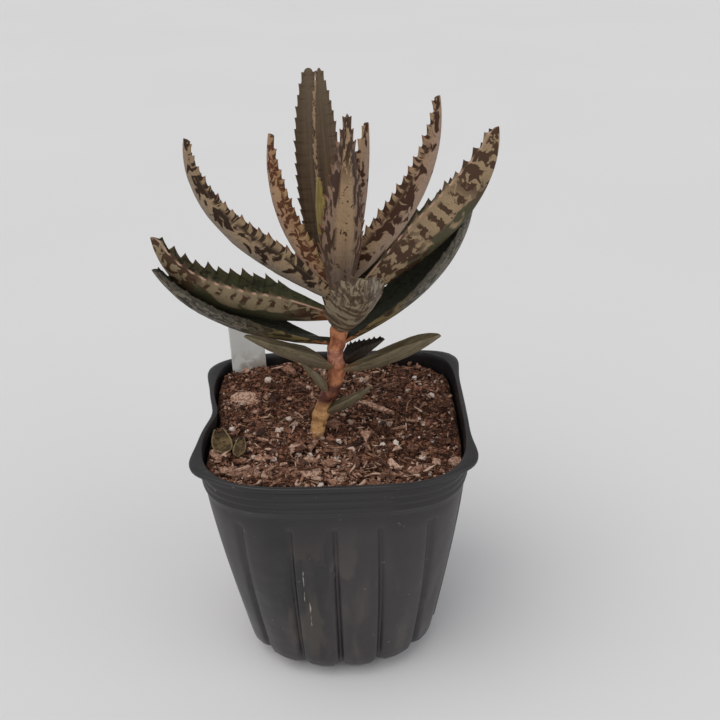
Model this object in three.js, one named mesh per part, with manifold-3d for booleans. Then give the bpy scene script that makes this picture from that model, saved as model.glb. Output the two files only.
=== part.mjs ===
// A potted mother of thousands (a Kalanchoe with channelled, toothed, mottled leaves),
// standing in a soft square nursery pot with its potting mix and a blank plant label.
// Millimetres, +Z up. The origin is the middle of the pot's underside, and -Y is the front.

import * as THREE from 'three';
import { mergeVertices } from 'three/addons/utils/BufferGeometryUtils.js';
import Module from 'manifold-3d';

const wasm = await Module();
wasm.setup();

const GAP = 0.3;                 // clearance between neighbouring pieces
const WELD = 1e-4;               // corners closer than this are one corner
const RAD = Math.PI / 180;

// ---------------------------------------------------------------- driving dimensions

const POT = {
  height: 110,
  wall: 1.1,
  floor: 1.4,
  mouthHalf: 53.6,               // half-width of the body at the collar
  bellyHalf: 41.6,               // half-width of the body where the rounded foot edge ends
  wallCurve: 1.45,               // how soon the wall steepens towards the collar
  footRound: 6.8,                // the foot is drawn in by this much
  footHeight: 9,                 // over this height
  footCurve: 1.3,                // along this power
  baseSquareness: 2.2,           // superellipse exponent of the outline at the floor
  frontSquareness: 4,            // and at the mouth, on the front half and on the back half
  backSquareness: 6,
  frontReach: 1.036,             // depth over half-width at the mouth, front and back
  backReach: 0.964,
  flutes: 16,
  fluteDepth: 1.7,
  footFluteDepth: 2.7,           // the flutes are deepest at the foot
  fluteDrift: 11.7,              // degrees that the flutes lean towards the front at most
  fluteHalfAngle: 2.5,           // degrees
  fluteTop: 87,
  fluteEnd: 91,                  // where the rounded flute tops run out
  panelSwell: 0.7,               // outward crown of the panels at the floor
  collarFrom: 96,                // the stiffened collar starts here
  collarStep: 0.5,
  collarBlend: 0.6,              // half-height of that step
  ridgesFrom: 0.7,               // first groove above the collar's edge
  ridges: 3,
  ridgePitch: 3.3,
  ridgeHeight: 0.6,
  lipThick: 2.6,
  lipRise: 0.5,                  // the lip flares out over this height
  lipWidth: 0.9,
  earWidth: 4.2,                 // extra lip width at the four corners
  earSpread: 9,                  // degrees
  earAngles: [216, 325, 146, 40],
  dentDepth: 4,                  // the left side is pinched in
  dentAngle: 180,
  dentSpread: 14,
  footLift: 1.0,                 // flute feet stand clear of the floor
  footInset: 3,                  // the flat underside ends this far inside the outline
  footEdge: 1.6,                 // height of the first row above the foot
  floorInset: 2,                 // the inside corner at the floor is cut across by this much
  bodyRows: [8, 24, 56],         // heights where the curved wall is divided
  drainRadius: 3.2,
  drainCircle: 23,
  drainHoles: 6,
  drainSides: 10,
};

const SOIL = {
  level: 102.4,                  // at the pot's axis
  riseBack: 0.045,               // slope towards the back, mm per mm
  riseLeft: 0.03,                // slope towards the left
  lumps: 0.8,
  clearance: 0.45,
  underside: 1.8,                // it starts this high above the table
  footShare: 0.9,                // the underside is this much narrower than the pot's inside
  footHeight: 3,                 // and it widens over this height
  belowCollar: 1,                // the last ring under the collar
  edgeDrop: 1.5,                 // the surface is rounded down along the wall
  surfaceShares: [0.96, 0.8, 0.62, 0.42, 0.2],
  seed: 7,
  chips: 18,
  chipLength: [4, 10],
  chipWidth: [2, 5],
  chipThick: [1.6, 3.2],
  chipRoll: 0.8,                 // radians between the two extremes
  chipTilt: 0.5,
  chipReach: [0.25, 0.87],       // nearest and farthest, over the way from the axis to the wall
};

// The low swells of the mix: one that crosses the pot both ways and a slanting one,
// in radians per mm and radians
const SWELL = {
  rate: [0.31, 0.27],
  phase: [1.3, -0.4],
  slantRate: [0.13, -0.21],
  slantPhase: 2,
  slantShare: 0.6,
};

const STEM = {
  radius: 3.1,
  collar: 0.8,                   // swelling at each leaf node
  collarHalf: 2.2,               // half the length of that swelling
  sides: 10,
  ringStep: 3,
  endShare: 0.7,                 // the first and last ring are this much thinner
  endPoint: 0.8,                 // and the ends stand out past them by this much
  crownFrom: 158,                // it thins from here to its top
  crownThinning: 0.45,
  y: -8.4,
  // x and z of the slightly zigzag axis, from inside the mix to the crown
  route: [[-9.6, 78], [-8.8, 92], [-7.8, 101.6], [-5.3, 113.6], [-3.4, 119.2], [0, 124.8],
    [2.3, 132], [1, 140.7], [2.7, 146.4], [3.7, 153], [4.3, 159.4], [4.1, 165.8], [3.6, 174]],
};

const BLADE = {
  widestAt: 0.33,
  footShare: 0.3,                // half-width at the foot over the widest half-width
  taper: 1.6,
  taperBend: 0.1,                // the last of the taper is a little steeper
  tipShare: 0.13,                // the tip is blunt
  ribThick: 2.6,
  tipThinning: 0.5,              // share of the rib's thickness lost on the way to the tip
  edgeThick: 0.9,
  belly: 0.1,                    // outward curve of each half, over its width
  rootOut: 2.5,                  // the foot starts this far out from the stem's axis
  footPoint: 0.3,                // the end faces are low points, this far out and this far up
  footRise: 1.2,
  tipRise: 0.4,
  smoothStations: [0, 0.07, 0.14, 0.22, 0.33, 0.46, 0.6, 0.73, 0.85, 0.94],
  footStations: 3,               // how many of those come before the first tooth
  toothFrom: 0.2,
  toothTo: 0.985,
  toothDepth: 2.4,               // on a blade of toothWidth
  toothWidth: 24,
  toothShrink: 0.55,             // share of that depth lost on the way to the tip
  toothVariation: 0.25,          // how much the teeth differ
  toothBeat: 2.4,                // and how fast, in radians a tooth
  toothAt: 0.52,                 // a tooth's point, over the tooth pitch
  toothLean: 0.42,               // how far a tooth hooks forward, over the tooth pitch
  slimBelow: 16,                 // narrower blades are thinner too
  slimShare: 0.7,
  keelSteps: 40,
};

// Leaves from the crown down. Angles in degrees: azimuth from +X towards +Y, rise above the
// horizontal at the foot and at the tip, fold of each half above the flat, twist and sweep
// along the blade. bend is how late the rise changes.
const LEAVES = [
  { name: 'leaf_young_front', z: 173, azimuth: 194, rise: [71, 98], bend: 1, length: 41, width: 16,
    fold: 25, twist: [0, 0], sweep: 0, teeth: 6, kind: 'young' },
  { name: 'leaf_young_back', z: 173, azimuth: 95, rise: [84, 92], bend: 1, length: 32, width: 8,
    fold: 40, twist: [0, 0], sweep: 0, teeth: 5, kind: 'young' },
  { name: 'leaf_inner_right', z: 169.5, azimuth: 344, rise: [70, 92], bend: 1, length: 65, width: 18,
    fold: 58, twist: [-26, -26], sweep: 0, teeth: 11, kind: 'pink' },
  { name: 'leaf_inner_left', z: 169, azimuth: 171, rise: [28, 101], bend: 0.7, length: 67, width: 16,
    fold: 58, twist: [28, 28], sweep: 3, teeth: 13, kind: 'pink' },
  { name: 'leaf_upper_right', z: 168.5, azimuth: 354.5, rise: [43, 99], bend: 1.5, length: 85, width: 21,
    fold: 60, twist: [-30, -30], sweep: 0, teeth: 15, kind: 'pink' },
  { name: 'leaf_upper_left', z: 162.5, azimuth: 172, rise: [26, 105], bend: 2.1, length: 90, width: 22,
    fold: 60, twist: [30, 30], sweep: 0, teeth: 15, kind: 'tan' },
  { name: 'leaf_front_tall', z: 161, azimuth: 279, rise: [60, 77], bend: 1, length: 90, width: 24,
    fold: 51, twist: [0, 0], sweep: -3, teeth: 14, kind: 'tan', taper: 1.35, tip: 0.05 },
  { name: 'leaf_back_tall', z: 161, azimuth: 100, rise: [70, 48], bend: 1, length: 94, width: 10.6,
    fold: 20, twist: [0, 0], sweep: -5, teeth: 17, kind: 'dark', widest: 0.5, taper: 2.3, tip: 0.12 },
  { name: 'leaf_broad_right', z: 160, azimuth: 10, rise: [28, 100], bend: 2.2, length: 95, width: 33,
    fold: 60, twist: [0, -38], sweep: -3, teeth: 11, kind: 'tan', widest: 0.42, taper: 2.2, foot: 0.2 },
  { name: 'leaf_broad_left', z: 155.5, azimuth: 187, rise: [2, 87], bend: 1.75, length: 85, width: 31,
    fold: 64, twist: [-1, -8], sweep: 8, teeth: 11, kind: 'tan', widest: 0.38, foot: 0.22 },
  { name: 'leaf_front_low', z: 151, azimuth: 284, rise: [24, 66], bend: 1, length: 55, width: 24,
    fold: 38, twist: [0, -8], sweep: 2, teeth: 9, kind: 'green', widest: 0.5, taper: 3 },
  { name: 'leaf_back_low', z: 150, azimuth: 108, rise: [50, 60], bend: 1, length: 109, width: 13.6,
    fold: 20, twist: [0, -8], sweep: -20, teeth: 18, kind: 'dark', widest: 0.55, taper: 2.5, tip: 0.22 },
  { name: 'leaf_low_left', z: 144.5, azimuth: 190, rise: [12, 66], bend: 1.65, length: 80, width: 22,
    fold: 42, twist: [0, 0], sweep: 8, teeth: 11, kind: 'green', widest: 0.5, foot: 0.12 },
  { name: 'leaf_low_right', z: 144, azimuth: 18, rise: [20, 82], bend: 1.6, length: 78, width: 27,
    fold: 44, twist: [0, 0], sweep: -4, teeth: 10, kind: 'dark', widest: 0.6, taper: 2.2, foot: 0.18 },
  { name: 'leaf_stub_back', z: 135.5, azimuth: 29, rise: [-4, 36], bend: 1, length: 21, width: 13,
    fold: 50, twist: [0, 0], sweep: 0, teeth: 0, kind: 'withered' },
  { name: 'leaf_small_left', z: 133.5, azimuth: 209, rise: [25, 44], bend: 1, length: 44, width: 15,
    fold: 47, twist: [0, 0], sweep: 0, teeth: 0, kind: 'olive' },
  { name: 'leaf_small_right', z: 132.5, azimuth: 333, rise: [16, 46], bend: 1, length: 49, width: 15,
    fold: 46, twist: [0, 3], sweep: 0, teeth: 0, kind: 'olive', widest: 0.55, taper: 2.4 },
  { name: 'leaf_bract_left', z: 123, azimuth: 215, rise: [55, 62], bend: 1, length: 22, width: 8,
    fold: 47, twist: [0, 0], sweep: 0, teeth: 0, kind: 'olive' },
  { name: 'leaf_bract_right', z: 113, azimuth: 341, rise: [18, 62], bend: 1, length: 26, width: 10,
    fold: 52, twist: [0, 0], sweep: 0, teeth: 0, kind: 'olive' },
];

const LABEL = {
  width: 16,
  thick: 1,
  below: 22,
  above: 25,
  corner: 2,
  pointLength: 14,
  x: -39.5,
  y: 44.5,
  turn: 24,
  lean: 4,
};

// Two shed leaves lying on the mix, dried and cupped
const SHED_BLADE = {
  thick: 0.8,
  roundness: 0.5,                // power of the outline; the lower, the blunter its ends
  cutOff: 0.06,                  // share of the outline missing at each end
  endLift: 0.6,                  // how far the ends and the edges curl up, over the cup
  edgeLift: 0.56,
  endPoint: 0.5,                 // the ends stand out past the last sections by this much
  stations: [0, 0.12, 0.3, 0.5, 0.7, 0.88, 1],
};
const SHED = [
  { name: 'shed_leaf_left', x: -45.6, y: -17, length: 17.5, width: 8.3, turn: 104, cup: 3 },
  { name: 'shed_leaf_front', x: -38, y: -22, length: 11.5, width: 5.2, turn: 88, cup: 2.2 },
];

const COLOURS = {
  pot: 0x3b3a3c, soil: 0x4a352b, stem: 0xb5764a, label: 0xe4e4e0, shed: 0x77704f,
  pink: 0xa38570, tan: 0x9c8872, dark: 0x4f4636, green: 0x6c6c58, olive: 0x6e6e52,
  young: 0x8a8850, withered: 0x3f352d,
};

// ---------------------------------------------------------------- solids

function finish(name, geometry, colour, roughness) {
  const material = new THREE.MeshStandardMaterial({ color: colour, roughness, metalness: 0 });
  const mesh = new THREE.Mesh(geometry, material);
  mesh.name = name;
  return mesh;
}

// Skins a row of equally long rings, and closes each end with a fan to its middle.
function bodyFromRings(rings, startPoint, endPoint) {
  const columns = rings[0].length;
  const positions = rings.flat().flatMap((p) => [p.x, p.y, p.z]);
  const faces = [];
  for (let row = 0; row < rings.length - 1; row += 1) {
    for (let i = 0; i < columns; i += 1) {
      const a = row * columns + i;
      const b = row * columns + (i + 1) % columns;
      faces.push(a, b, b + columns, a, b + columns, a + columns);
    }
  }
  const start = positions.length / 3;
  positions.push(startPoint.x, startPoint.y, startPoint.z, endPoint.x, endPoint.y, endPoint.z);
  const lastRow = (rings.length - 1) * columns;
  for (let i = 0; i < columns; i += 1) {
    const next = (i + 1) % columns;
    faces.push(start, next, i);
    faces.push(start + 1, lastRow + i, lastRow + next);
  }
  const geometry = new THREE.BufferGeometry();
  geometry.setAttribute('position', new THREE.Float32BufferAttribute(positions, 3));
  geometry.setIndex(faces);
  return geometry;
}

function solidOf(geometry) {
  const bare = geometry.clone();
  bare.deleteAttribute('normal');
  bare.deleteAttribute('uv');
  const merged = mergeVertices(bare, WELD);
  return new wasm.Manifold(new wasm.Mesh({
    numProp: 3,
    vertProperties: new Float32Array(merged.attributes.position.array),
    triVerts: new Uint32Array(merged.index.array),
  }));
}

function geometryOf(solid) {
  const mesh = solid.getMesh();
  const geometry = new THREE.BufferGeometry();
  geometry.setAttribute('position', new THREE.Float32BufferAttribute(mesh.vertProperties, 3));
  geometry.setIndex(Array.from(mesh.triVerts));
  return geometry;
}

function largestPiece(solid) {
  const pieces = solid.decompose();
  pieces.sort((a, b) => b.volume() - a.volume());
  return pieces[0];
}

// ---------------------------------------------------------------- pot

const lerp = THREE.MathUtils.lerp;
const ramp = THREE.MathUtils.smoothstep;

// Radius of a rounded square of half-width 1 whose depth is reach
function superellipse(angle, reach, exponent) {
  const x = Math.abs(Math.cos(angle));
  const y = Math.abs(Math.sin(angle)) / reach;
  return (x ** exponent + y ** exponent) ** (-1 / exponent);
}

function angleBetween(angle, degrees) {
  const turn = (angle / RAD - degrees) % 360;
  return Math.abs(((turn + 540) % 360) - 180);
}

function mouthShape(angle) {
  if (Math.sin(angle) < 0) return superellipse(angle, POT.frontReach, POT.frontSquareness);
  return superellipse(angle, POT.backReach, POT.backSquareness);
}

function bodyHalf(z) {
  const below = Math.max(0, 1 - z / POT.collarFrom);
  const foot = Math.max(0, 1 - z / POT.footHeight);
  const taper = (POT.mouthHalf - POT.bellyHalf) * below ** POT.wallCurve;
  return POT.mouthHalf - taper - POT.footRound * foot ** POT.footCurve;
}

// The smooth tapering body without its flutes, collar or lip
function bodyRadius(angle, z) {
  const share = z / POT.height;
  const shape = lerp(superellipse(angle, 1, POT.baseSquareness), mouthShape(angle), share);
  const offDent = angleBetween(angle, POT.dentAngle) / POT.dentSpread;
  const dent = POT.dentDepth * Math.exp(-offDent * offDent) * share ** 3;
  return bodyHalf(z) * shape - dent;
}

// How deep the flutes are at height z
function fluteDepth(z) {
  const depth = lerp(POT.footFluteDepth, POT.fluteDepth, Math.min(1, z / POT.fluteTop));
  return depth * (1 - ramp(z, POT.fluteTop, POT.fluteEnd));
}

// Where the column that starts at this angle at the foot stands at height z
function drifted(angle, z) {
  const share = Math.min(1, z / POT.fluteTop);
  return angle - POT.fluteDrift * RAD * share * Math.cos(angle);
}

// Degrees to the nearest flute
function offFlute(angle) {
  const pitch = 360 / POT.flutes;
  const turn = (((angle / RAD + 90) % pitch) + pitch) % pitch;
  return Math.min(turn, pitch - turn);
}

// 1 on the deepest line of a flute, 0 from its edges on
function inFlute(angle) {
  return Math.max(0, 1 - offFlute(angle) / POT.fluteHalfAngle);
}

// The outer wall of a column, named by its angle at the foot
function wallRadius(angle, z) {
  const panelHalf = 180 / POT.flutes;
  const swell = POT.panelSwell * (offFlute(angle) / panelHalf) * (1 - z / POT.height);
  const flute = inFlute(angle) * fluteDepth(z);
  const collar = POT.collarStep * ramp(z, POT.collarFrom - POT.collarBlend, POT.collarFrom + POT.collarBlend);
  return bodyRadius(drifted(angle, z), z) + swell - flute + collar;
}

function earShare(angle) {
  return POT.earAngles
    .map((degrees) => Math.exp(-((angleBetween(angle, degrees) / POT.earSpread) ** 2)))
    .reduce((sum, share) => sum + share, 0);
}

// Four columns to a flute: its deepest line, its two edges and the middle of the panel
function potAngles() {
  const pitch = 360 / POT.flutes;
  const angles = [];
  for (let flute = 0; flute < POT.flutes; flute += 1) {
    const middle = -90 + flute * pitch;
    for (const offset of [-POT.fluteHalfAngle, 0, POT.fluteHalfAngle, pitch / 2]) {
      angles.push((middle + offset) * RAD);
    }
  }
  return angles;
}

function potRing(z, radiusAt, lift) {
  return potAngles().map((angle) => {
    const radius = radiusAt(angle);
    const height = z + (lift ? lift(angle) : 0);
    const turn = drifted(angle, z);
    return new THREE.Vector3(radius * Math.cos(turn), radius * Math.sin(turn), height);
  });
}

function footLift(angle) {
  return POT.footLift * inFlute(angle);
}

function makePot() {
  const rings = [];
  const outer = (z, extra = 0) => {
    rings.push(potRing(z, (angle) => wallRadius(angle, z) + extra));
  };
  const inner = (z, extra = 0) => {
    rings.push(potRing(z, (angle) => wallRadius(angle, z) - POT.wall - extra));
  };
  rings.push(potRing(0, (angle) => wallRadius(angle, 0) - POT.footInset));
  rings.push(potRing(0, (angle) => wallRadius(angle, 0), footLift));
  outer(POT.footEdge);
  for (const z of POT.bodyRows) outer(z);
  outer(POT.fluteTop);
  outer(POT.fluteEnd);
  outer(POT.collarFrom - POT.collarBlend);
  for (let i = 0; i < POT.ridges; i += 1) {
    const valley = POT.collarFrom + POT.ridgesFrom + i * POT.ridgePitch;
    outer(valley);
    outer(valley + POT.ridgePitch / 2, POT.ridgeHeight);
  }
  const lipFoot = POT.height - POT.lipThick;
  const lip = (angle) => POT.lipWidth + POT.earWidth * earShare(drifted(angle, POT.height));
  outer(lipFoot);
  rings.push(potRing(lipFoot + POT.lipRise, (angle) => wallRadius(angle, lipFoot) + lip(angle)));
  rings.push(potRing(POT.height, (angle) => wallRadius(angle, POT.height) + lip(angle)));
  inner(POT.height);
  inner(POT.fluteEnd);
  inner(POT.fluteTop);
  for (const z of [...POT.bodyRows].reverse()) inner(z);
  inner(POT.footEdge + POT.footLift / 2);
  inner(POT.floor, POT.floorInset);
  const underside = new THREE.Vector3(0, 0, 0);
  const floorTop = new THREE.Vector3(0, 0, POT.floor);
  let pot = solidOf(bodyFromRings(rings, underside, floorTop));
  for (let i = 0; i < POT.drainHoles; i += 1) {
    const turn = (i + 0.5) * 2 * Math.PI / POT.drainHoles;
    const hole = new THREE.CylinderGeometry(POT.drainRadius, POT.drainRadius, 4 * POT.floor, POT.drainSides);
    hole.rotateX(Math.PI / 2);
    hole.translate(POT.drainCircle * Math.cos(turn), POT.drainCircle * Math.sin(turn), 0);
    pot = pot.subtract(solidOf(hole));
  }
  return pot;
}

// ---------------------------------------------------------------- stem

function stemAxis(z) {
  const route = STEM.route;
  const last = route.length - 1;
  let leg = 0;
  while (leg < last - 1 && z > route[leg + 1][1]) leg += 1;
  const [x0, z0] = route[leg];
  const [x1, z1] = route[leg + 1];
  return new THREE.Vector3(lerp(x0, x1, (z - z0) / (z1 - z0)), STEM.y, z);
}

function stemRadius(z) {
  const swellings = LEAVES
    .filter((leaf) => leaf.kind !== 'young')
    .map((leaf) => Math.max(0, 1 - Math.abs(z - leaf.z) / STEM.collarHalf));
  const crown = 1 - STEM.crownThinning * ramp(z, STEM.crownFrom, STEM.route.at(-1)[1]);
  return STEM.radius * crown + STEM.collar * Math.max(0, ...swellings);
}

function makeStem(grow) {
  const bottom = STEM.route[0][1] - grow;
  const top = STEM.route.at(-1)[1] + grow;
  const count = Math.round((top - bottom) / STEM.ringStep);
  const rings = [];
  for (let i = 0; i <= count; i += 1) {
    const z = lerp(bottom, top, i / count);
    const centre = stemAxis(z);
    const endShare = (i === 0 || i === count) ? STEM.endShare : 1;
    const radius = stemRadius(z) * endShare + grow;
    const ring = [];
    for (let side = 0; side < STEM.sides; side += 1) {
      const angle = side * 2 * Math.PI / STEM.sides;
      const around = new THREE.Vector3(radius * Math.cos(angle), radius * Math.sin(angle), 0);
      ring.push(around.add(centre));
    }
    rings.push(ring);
  }
  const start = stemAxis(bottom - STEM.endPoint);
  const end = stemAxis(top + STEM.endPoint);
  return solidOf(bodyFromRings(rings, start, end));
}

// ---------------------------------------------------------------- leaves

function halfWidthShare(leaf, s) {
  const widest = leaf.widest ?? BLADE.widestAt;
  if (s < widest) {
    const foot = leaf.foot ?? BLADE.footShare;
    return foot + (1 - foot) * Math.sin(Math.PI / 2 * s / widest);
  }
  const u = (s - widest) / (1 - widest);
  const narrowing = u ** (leaf.taper ?? BLADE.taper) * (1 - BLADE.taperBend * (1 - u));
  return 1 - (1 - (leaf.tip ?? BLADE.tipShare)) * narrowing;
}

// Point, tangent, sideways and upper-face directions along the leaf's keel
function keelFrames(leaf, steps) {
  const frames = [];
  const start = stemAxis(leaf.z);
  const outward = new THREE.Vector3(Math.cos(leaf.azimuth * RAD), Math.sin(leaf.azimuth * RAD), 0);
  const point = start.addScaledVector(outward, BLADE.rootOut);
  for (let i = 0; i <= steps; i += 1) {
    const s = i / steps;
    const rise = lerp(leaf.rise[0], leaf.rise[1], s ** leaf.bend) * RAD;
    const azimuth = (leaf.azimuth + leaf.sweep * s) * RAD;
    const tangent = new THREE.Vector3(
      Math.cos(rise) * Math.cos(azimuth), Math.cos(rise) * Math.sin(azimuth), Math.sin(rise));
    const flatSide = new THREE.Vector3(-Math.sin(azimuth), Math.cos(azimuth), 0);
    const flatUp = new THREE.Vector3().crossVectors(tangent, flatSide);
    const twist = lerp(leaf.twist[0], leaf.twist[1], s) * RAD;
    const side = flatSide.clone().multiplyScalar(Math.cos(twist)).addScaledVector(flatUp, Math.sin(twist));
    const up = flatUp.clone().multiplyScalar(Math.cos(twist)).addScaledVector(flatSide, -Math.sin(twist));
    frames.push({ s, point: point.clone(), tangent, side, up });
    point.addScaledVector(tangent, leaf.length / steps);
  }
  return frames;
}

function frameAt(frames, s) {
  const place = THREE.MathUtils.clamp(s, 0, 1) * (frames.length - 1);
  const low = Math.min(Math.floor(place), frames.length - 2);
  const share = place - low;
  const mix = (key) => frames[low][key].clone().lerp(frames[low + 1][key], share);
  return { point: mix('point'), tangent: mix('tangent').normalize(), side: mix('side').normalize(),
    up: mix('up').normalize() };
}

function toothDepth(leaf) {
  return leaf.teeth > 0 ? BLADE.toothDepth * leaf.width / BLADE.toothWidth : 0;
}

function smoothStations(shares) {
  return shares.map((s) => ({ s, out: 0, forward: 0 }));
}

// Stations along the blade: plain ones near the foot, then a notch and a point for each tooth.
// The teeth differ a little in size and get smaller towards the tip.
function leafStations(leaf) {
  if (leaf.teeth === 0) return smoothStations(BLADE.smoothStations);
  const stations = smoothStations(BLADE.smoothStations.slice(0, BLADE.footStations));
  const pitch = (BLADE.toothTo - BLADE.toothFrom) / leaf.teeth;
  const forward = BLADE.toothLean * pitch * leaf.length;
  for (let i = 0; i < leaf.teeth; i += 1) {
    const s = BLADE.toothFrom + i * pitch;
    const shrink = 1 - BLADE.toothShrink * i / leaf.teeth;
    const variation = 1 - BLADE.toothVariation * (1 - Math.sin(i * BLADE.toothBeat));
    const size = toothDepth(leaf) * variation * shrink;
    stations.push({ s, out: 0, forward: 0 });
    stations.push({ s: s + BLADE.toothAt * pitch, out: size, forward });
  }
  stations.push({ s: BLADE.toothTo, out: 0, forward: 0 });
  return stations;
}

// A cutting copy is smooth along its edges and larger all round by grow.
function leafBody(leaf, grow = 0) {
  const frames = keelFrames(leaf, BLADE.keelSteps);
  const slim = leaf.width < BLADE.slimBelow ? BLADE.slimShare : 1;
  const cutting = grow > 0;
  const stations = leafStations(leaf).filter((station) => !cutting || station.out === 0);
  const teethAllowance = cutting ? toothDepth(leaf) : 0;
  const fold = leaf.fold * RAD;
  const rings = stations.map(({ s, out, forward }) => {
    const { point, tangent, side, up } = frameAt(frames, s);
    const allowance = teethAllowance * ramp(s, 0, BLADE.toothFrom) + grow;
    const half = leaf.width / 2 * halfWidthShare(leaf, s) + allowance;
    const ribThick = BLADE.ribThick * (1 - BLADE.tipThinning * s) * slim;
    const rib = ribThick / Math.cos(fold) + grow;
    const edge = BLADE.edgeThick * Math.sqrt(slim);
    const halves = [1, -1].map((sign) => {
      const along = side.clone().multiplyScalar(sign * Math.cos(fold)).addScaledVector(up, Math.sin(fold));
      const inward = side.clone().multiplyScalar(-sign * Math.sin(fold)).addScaledVector(up, Math.cos(fold));
      const keel = point.clone().addScaledVector(up, -grow);
      const tip = keel.clone().addScaledVector(along, half + out).addScaledVector(tangent, forward);
      const low = tip.clone().addScaledVector(inward, -grow);
      const high = tip.clone().addScaledVector(inward, edge + grow);
      const bellyOut = half * BLADE.belly + grow;
      const belly = keel.clone().addScaledVector(along, half / 2).addScaledVector(inward, -bellyOut);
      return { low, high, belly };
    });
    const keel = point.clone().addScaledVector(up, -grow);
    const groove = point.clone().addScaledVector(up, rib);
    const [left, right] = halves;
    return [keel, left.belly, left.low, left.high, groove, right.high, right.low, right.belly];
  });
  const first = frameAt(frames, 0);
  const last = frameAt(frames, 1);
  const foot = first.point.clone()
    .addScaledVector(first.tangent, -grow - BLADE.footPoint)
    .addScaledVector(first.up, BLADE.footRise);
  const apex = last.point.clone()
    .addScaledVector(last.tangent, grow)
    .addScaledVector(last.up, BLADE.tipRise);
  return bodyFromRings(rings, foot, apex);
}

// Every leaf is cut back from the stem and from the leaves above it, so that they only nestle.
function makeLeaves(stemCutter) {
  const made = [];
  const cutters = [];
  for (const leaf of LEAVES) {
    let solid = solidOf(leafBody(leaf)).subtract(stemCutter);
    for (const cutter of cutters) solid = solid.subtract(cutter);
    cutters.push(solidOf(leafBody(leaf, GAP)));
    made.push({ leaf, solid: largestPiece(solid) });
  }
  return made;
}

// ---------------------------------------------------------------- potting mix

// A small repeatable generator, so that the chips lie the same way every time
function seeded(seed) {
  const range = 2 ** 32;
  const factor = 1664525;
  const step = 1013904223;
  let state = seed;
  return () => {
    state = (state * factor + step) % range;
    return state / range;
  };
}

function soilHeight(x, y) {
  const { rate, phase } = SWELL;
  const crossing = Math.sin(x * rate[0] + phase[0]) * Math.cos(y * rate[1] + phase[1]);
  const slanting = Math.sin(x * SWELL.slantRate[0] + y * SWELL.slantRate[1] + SWELL.slantPhase);
  const lumps = crossing + SWELL.slantShare * slanting;
  return SOIL.level + SOIL.riseBack * y - SOIL.riseLeft * x + SOIL.lumps * lumps;
}

function soilRadius(angle, z) {
  return bodyRadius(angle, z) - fluteDepth(z) - POT.wall - SOIL.clearance;
}

function soilRing(share, zAt) {
  return potAngles().map((column) => {
    const z = zAt(column);
    const angle = drifted(column, z);
    const radius = soilRadius(angle, z) * share;
    return new THREE.Vector3(radius * Math.cos(angle), radius * Math.sin(angle), z);
  });
}

function makeSoil() {
  const rings = [];
  const bottom = SOIL.underside;
  rings.push(soilRing(SOIL.footShare, () => bottom));
  const wallRows = [bottom + SOIL.footHeight, ...POT.bodyRows.slice(1), POT.fluteTop, POT.fluteEnd];
  for (const z of [...wallRows, POT.collarFrom - SOIL.belowCollar]) rings.push(soilRing(1, () => z));
  const shoulder = (column) => {
    const angle = drifted(column, SOIL.level);
    const radius = soilRadius(angle, SOIL.level);
    return soilHeight(radius * Math.cos(angle), radius * Math.sin(angle));
  };
  rings.push(soilRing(1, (column) => shoulder(column) - SOIL.edgeDrop));
  for (const share of SOIL.surfaceShares) {
    const ring = soilRing(share, () => SOIL.level);
    ring.forEach((point) => point.setZ(soilHeight(point.x, point.y)));
    rings.push(ring);
  }
  const start = new THREE.Vector3(0, 0, bottom);
  const end = new THREE.Vector3(0, 0, soilHeight(0, 0));
  let soil = solidOf(bodyFromRings(rings, start, end));
  const random = seeded(SOIL.seed);
  const between = ([low, high]) => lerp(low, high, random());
  for (let i = 0; i < SOIL.chips; i += 1) {
    const turn = random() * 2 * Math.PI;
    const reach = lerp(SOIL.chipReach[0], SOIL.chipReach[1], Math.sqrt(random()));
    const radius = soilRadius(turn, SOIL.level) * reach;
    const x = radius * Math.cos(turn);
    const y = radius * Math.sin(turn);
    const chip = new THREE.BoxGeometry(
      between(SOIL.chipLength), between(SOIL.chipWidth), between(SOIL.chipThick));
    chip.rotateX((random() - 0.5) * SOIL.chipRoll);
    chip.rotateY((random() - 0.5) * SOIL.chipTilt);
    chip.rotateZ(random() * Math.PI);
    chip.translate(x, y, soilHeight(x, y));
    soil = soil.add(solidOf(chip));
  }
  return soil;
}

// ---------------------------------------------------------------- label and shed leaves

function makeLabel(grow) {
  const half = LABEL.width / 2 + grow;
  const outline = new THREE.Shape();
  const shoulder = LABEL.pointLength - LABEL.below;
  outline.moveTo(0, -LABEL.below - grow);
  outline.lineTo(half, shoulder);
  outline.lineTo(half, LABEL.above - LABEL.corner);
  outline.lineTo(half - LABEL.corner, LABEL.above);
  outline.lineTo(LABEL.corner - half, LABEL.above);
  outline.lineTo(-half, LABEL.above - LABEL.corner);
  outline.lineTo(-half, shoulder);
  outline.closePath();
  const depth = LABEL.thick + 2 * grow;
  const plate = new THREE.ExtrudeGeometry(outline, { depth, bevelEnabled: false });
  plate.translate(0, 0, -depth / 2);
  plate.rotateX((90 - LABEL.lean) * RAD);
  plate.rotateZ(LABEL.turn * RAD);
  plate.translate(LABEL.x, LABEL.y, soilHeight(LABEL.x, LABEL.y));
  return solidOf(plate);
}

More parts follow.
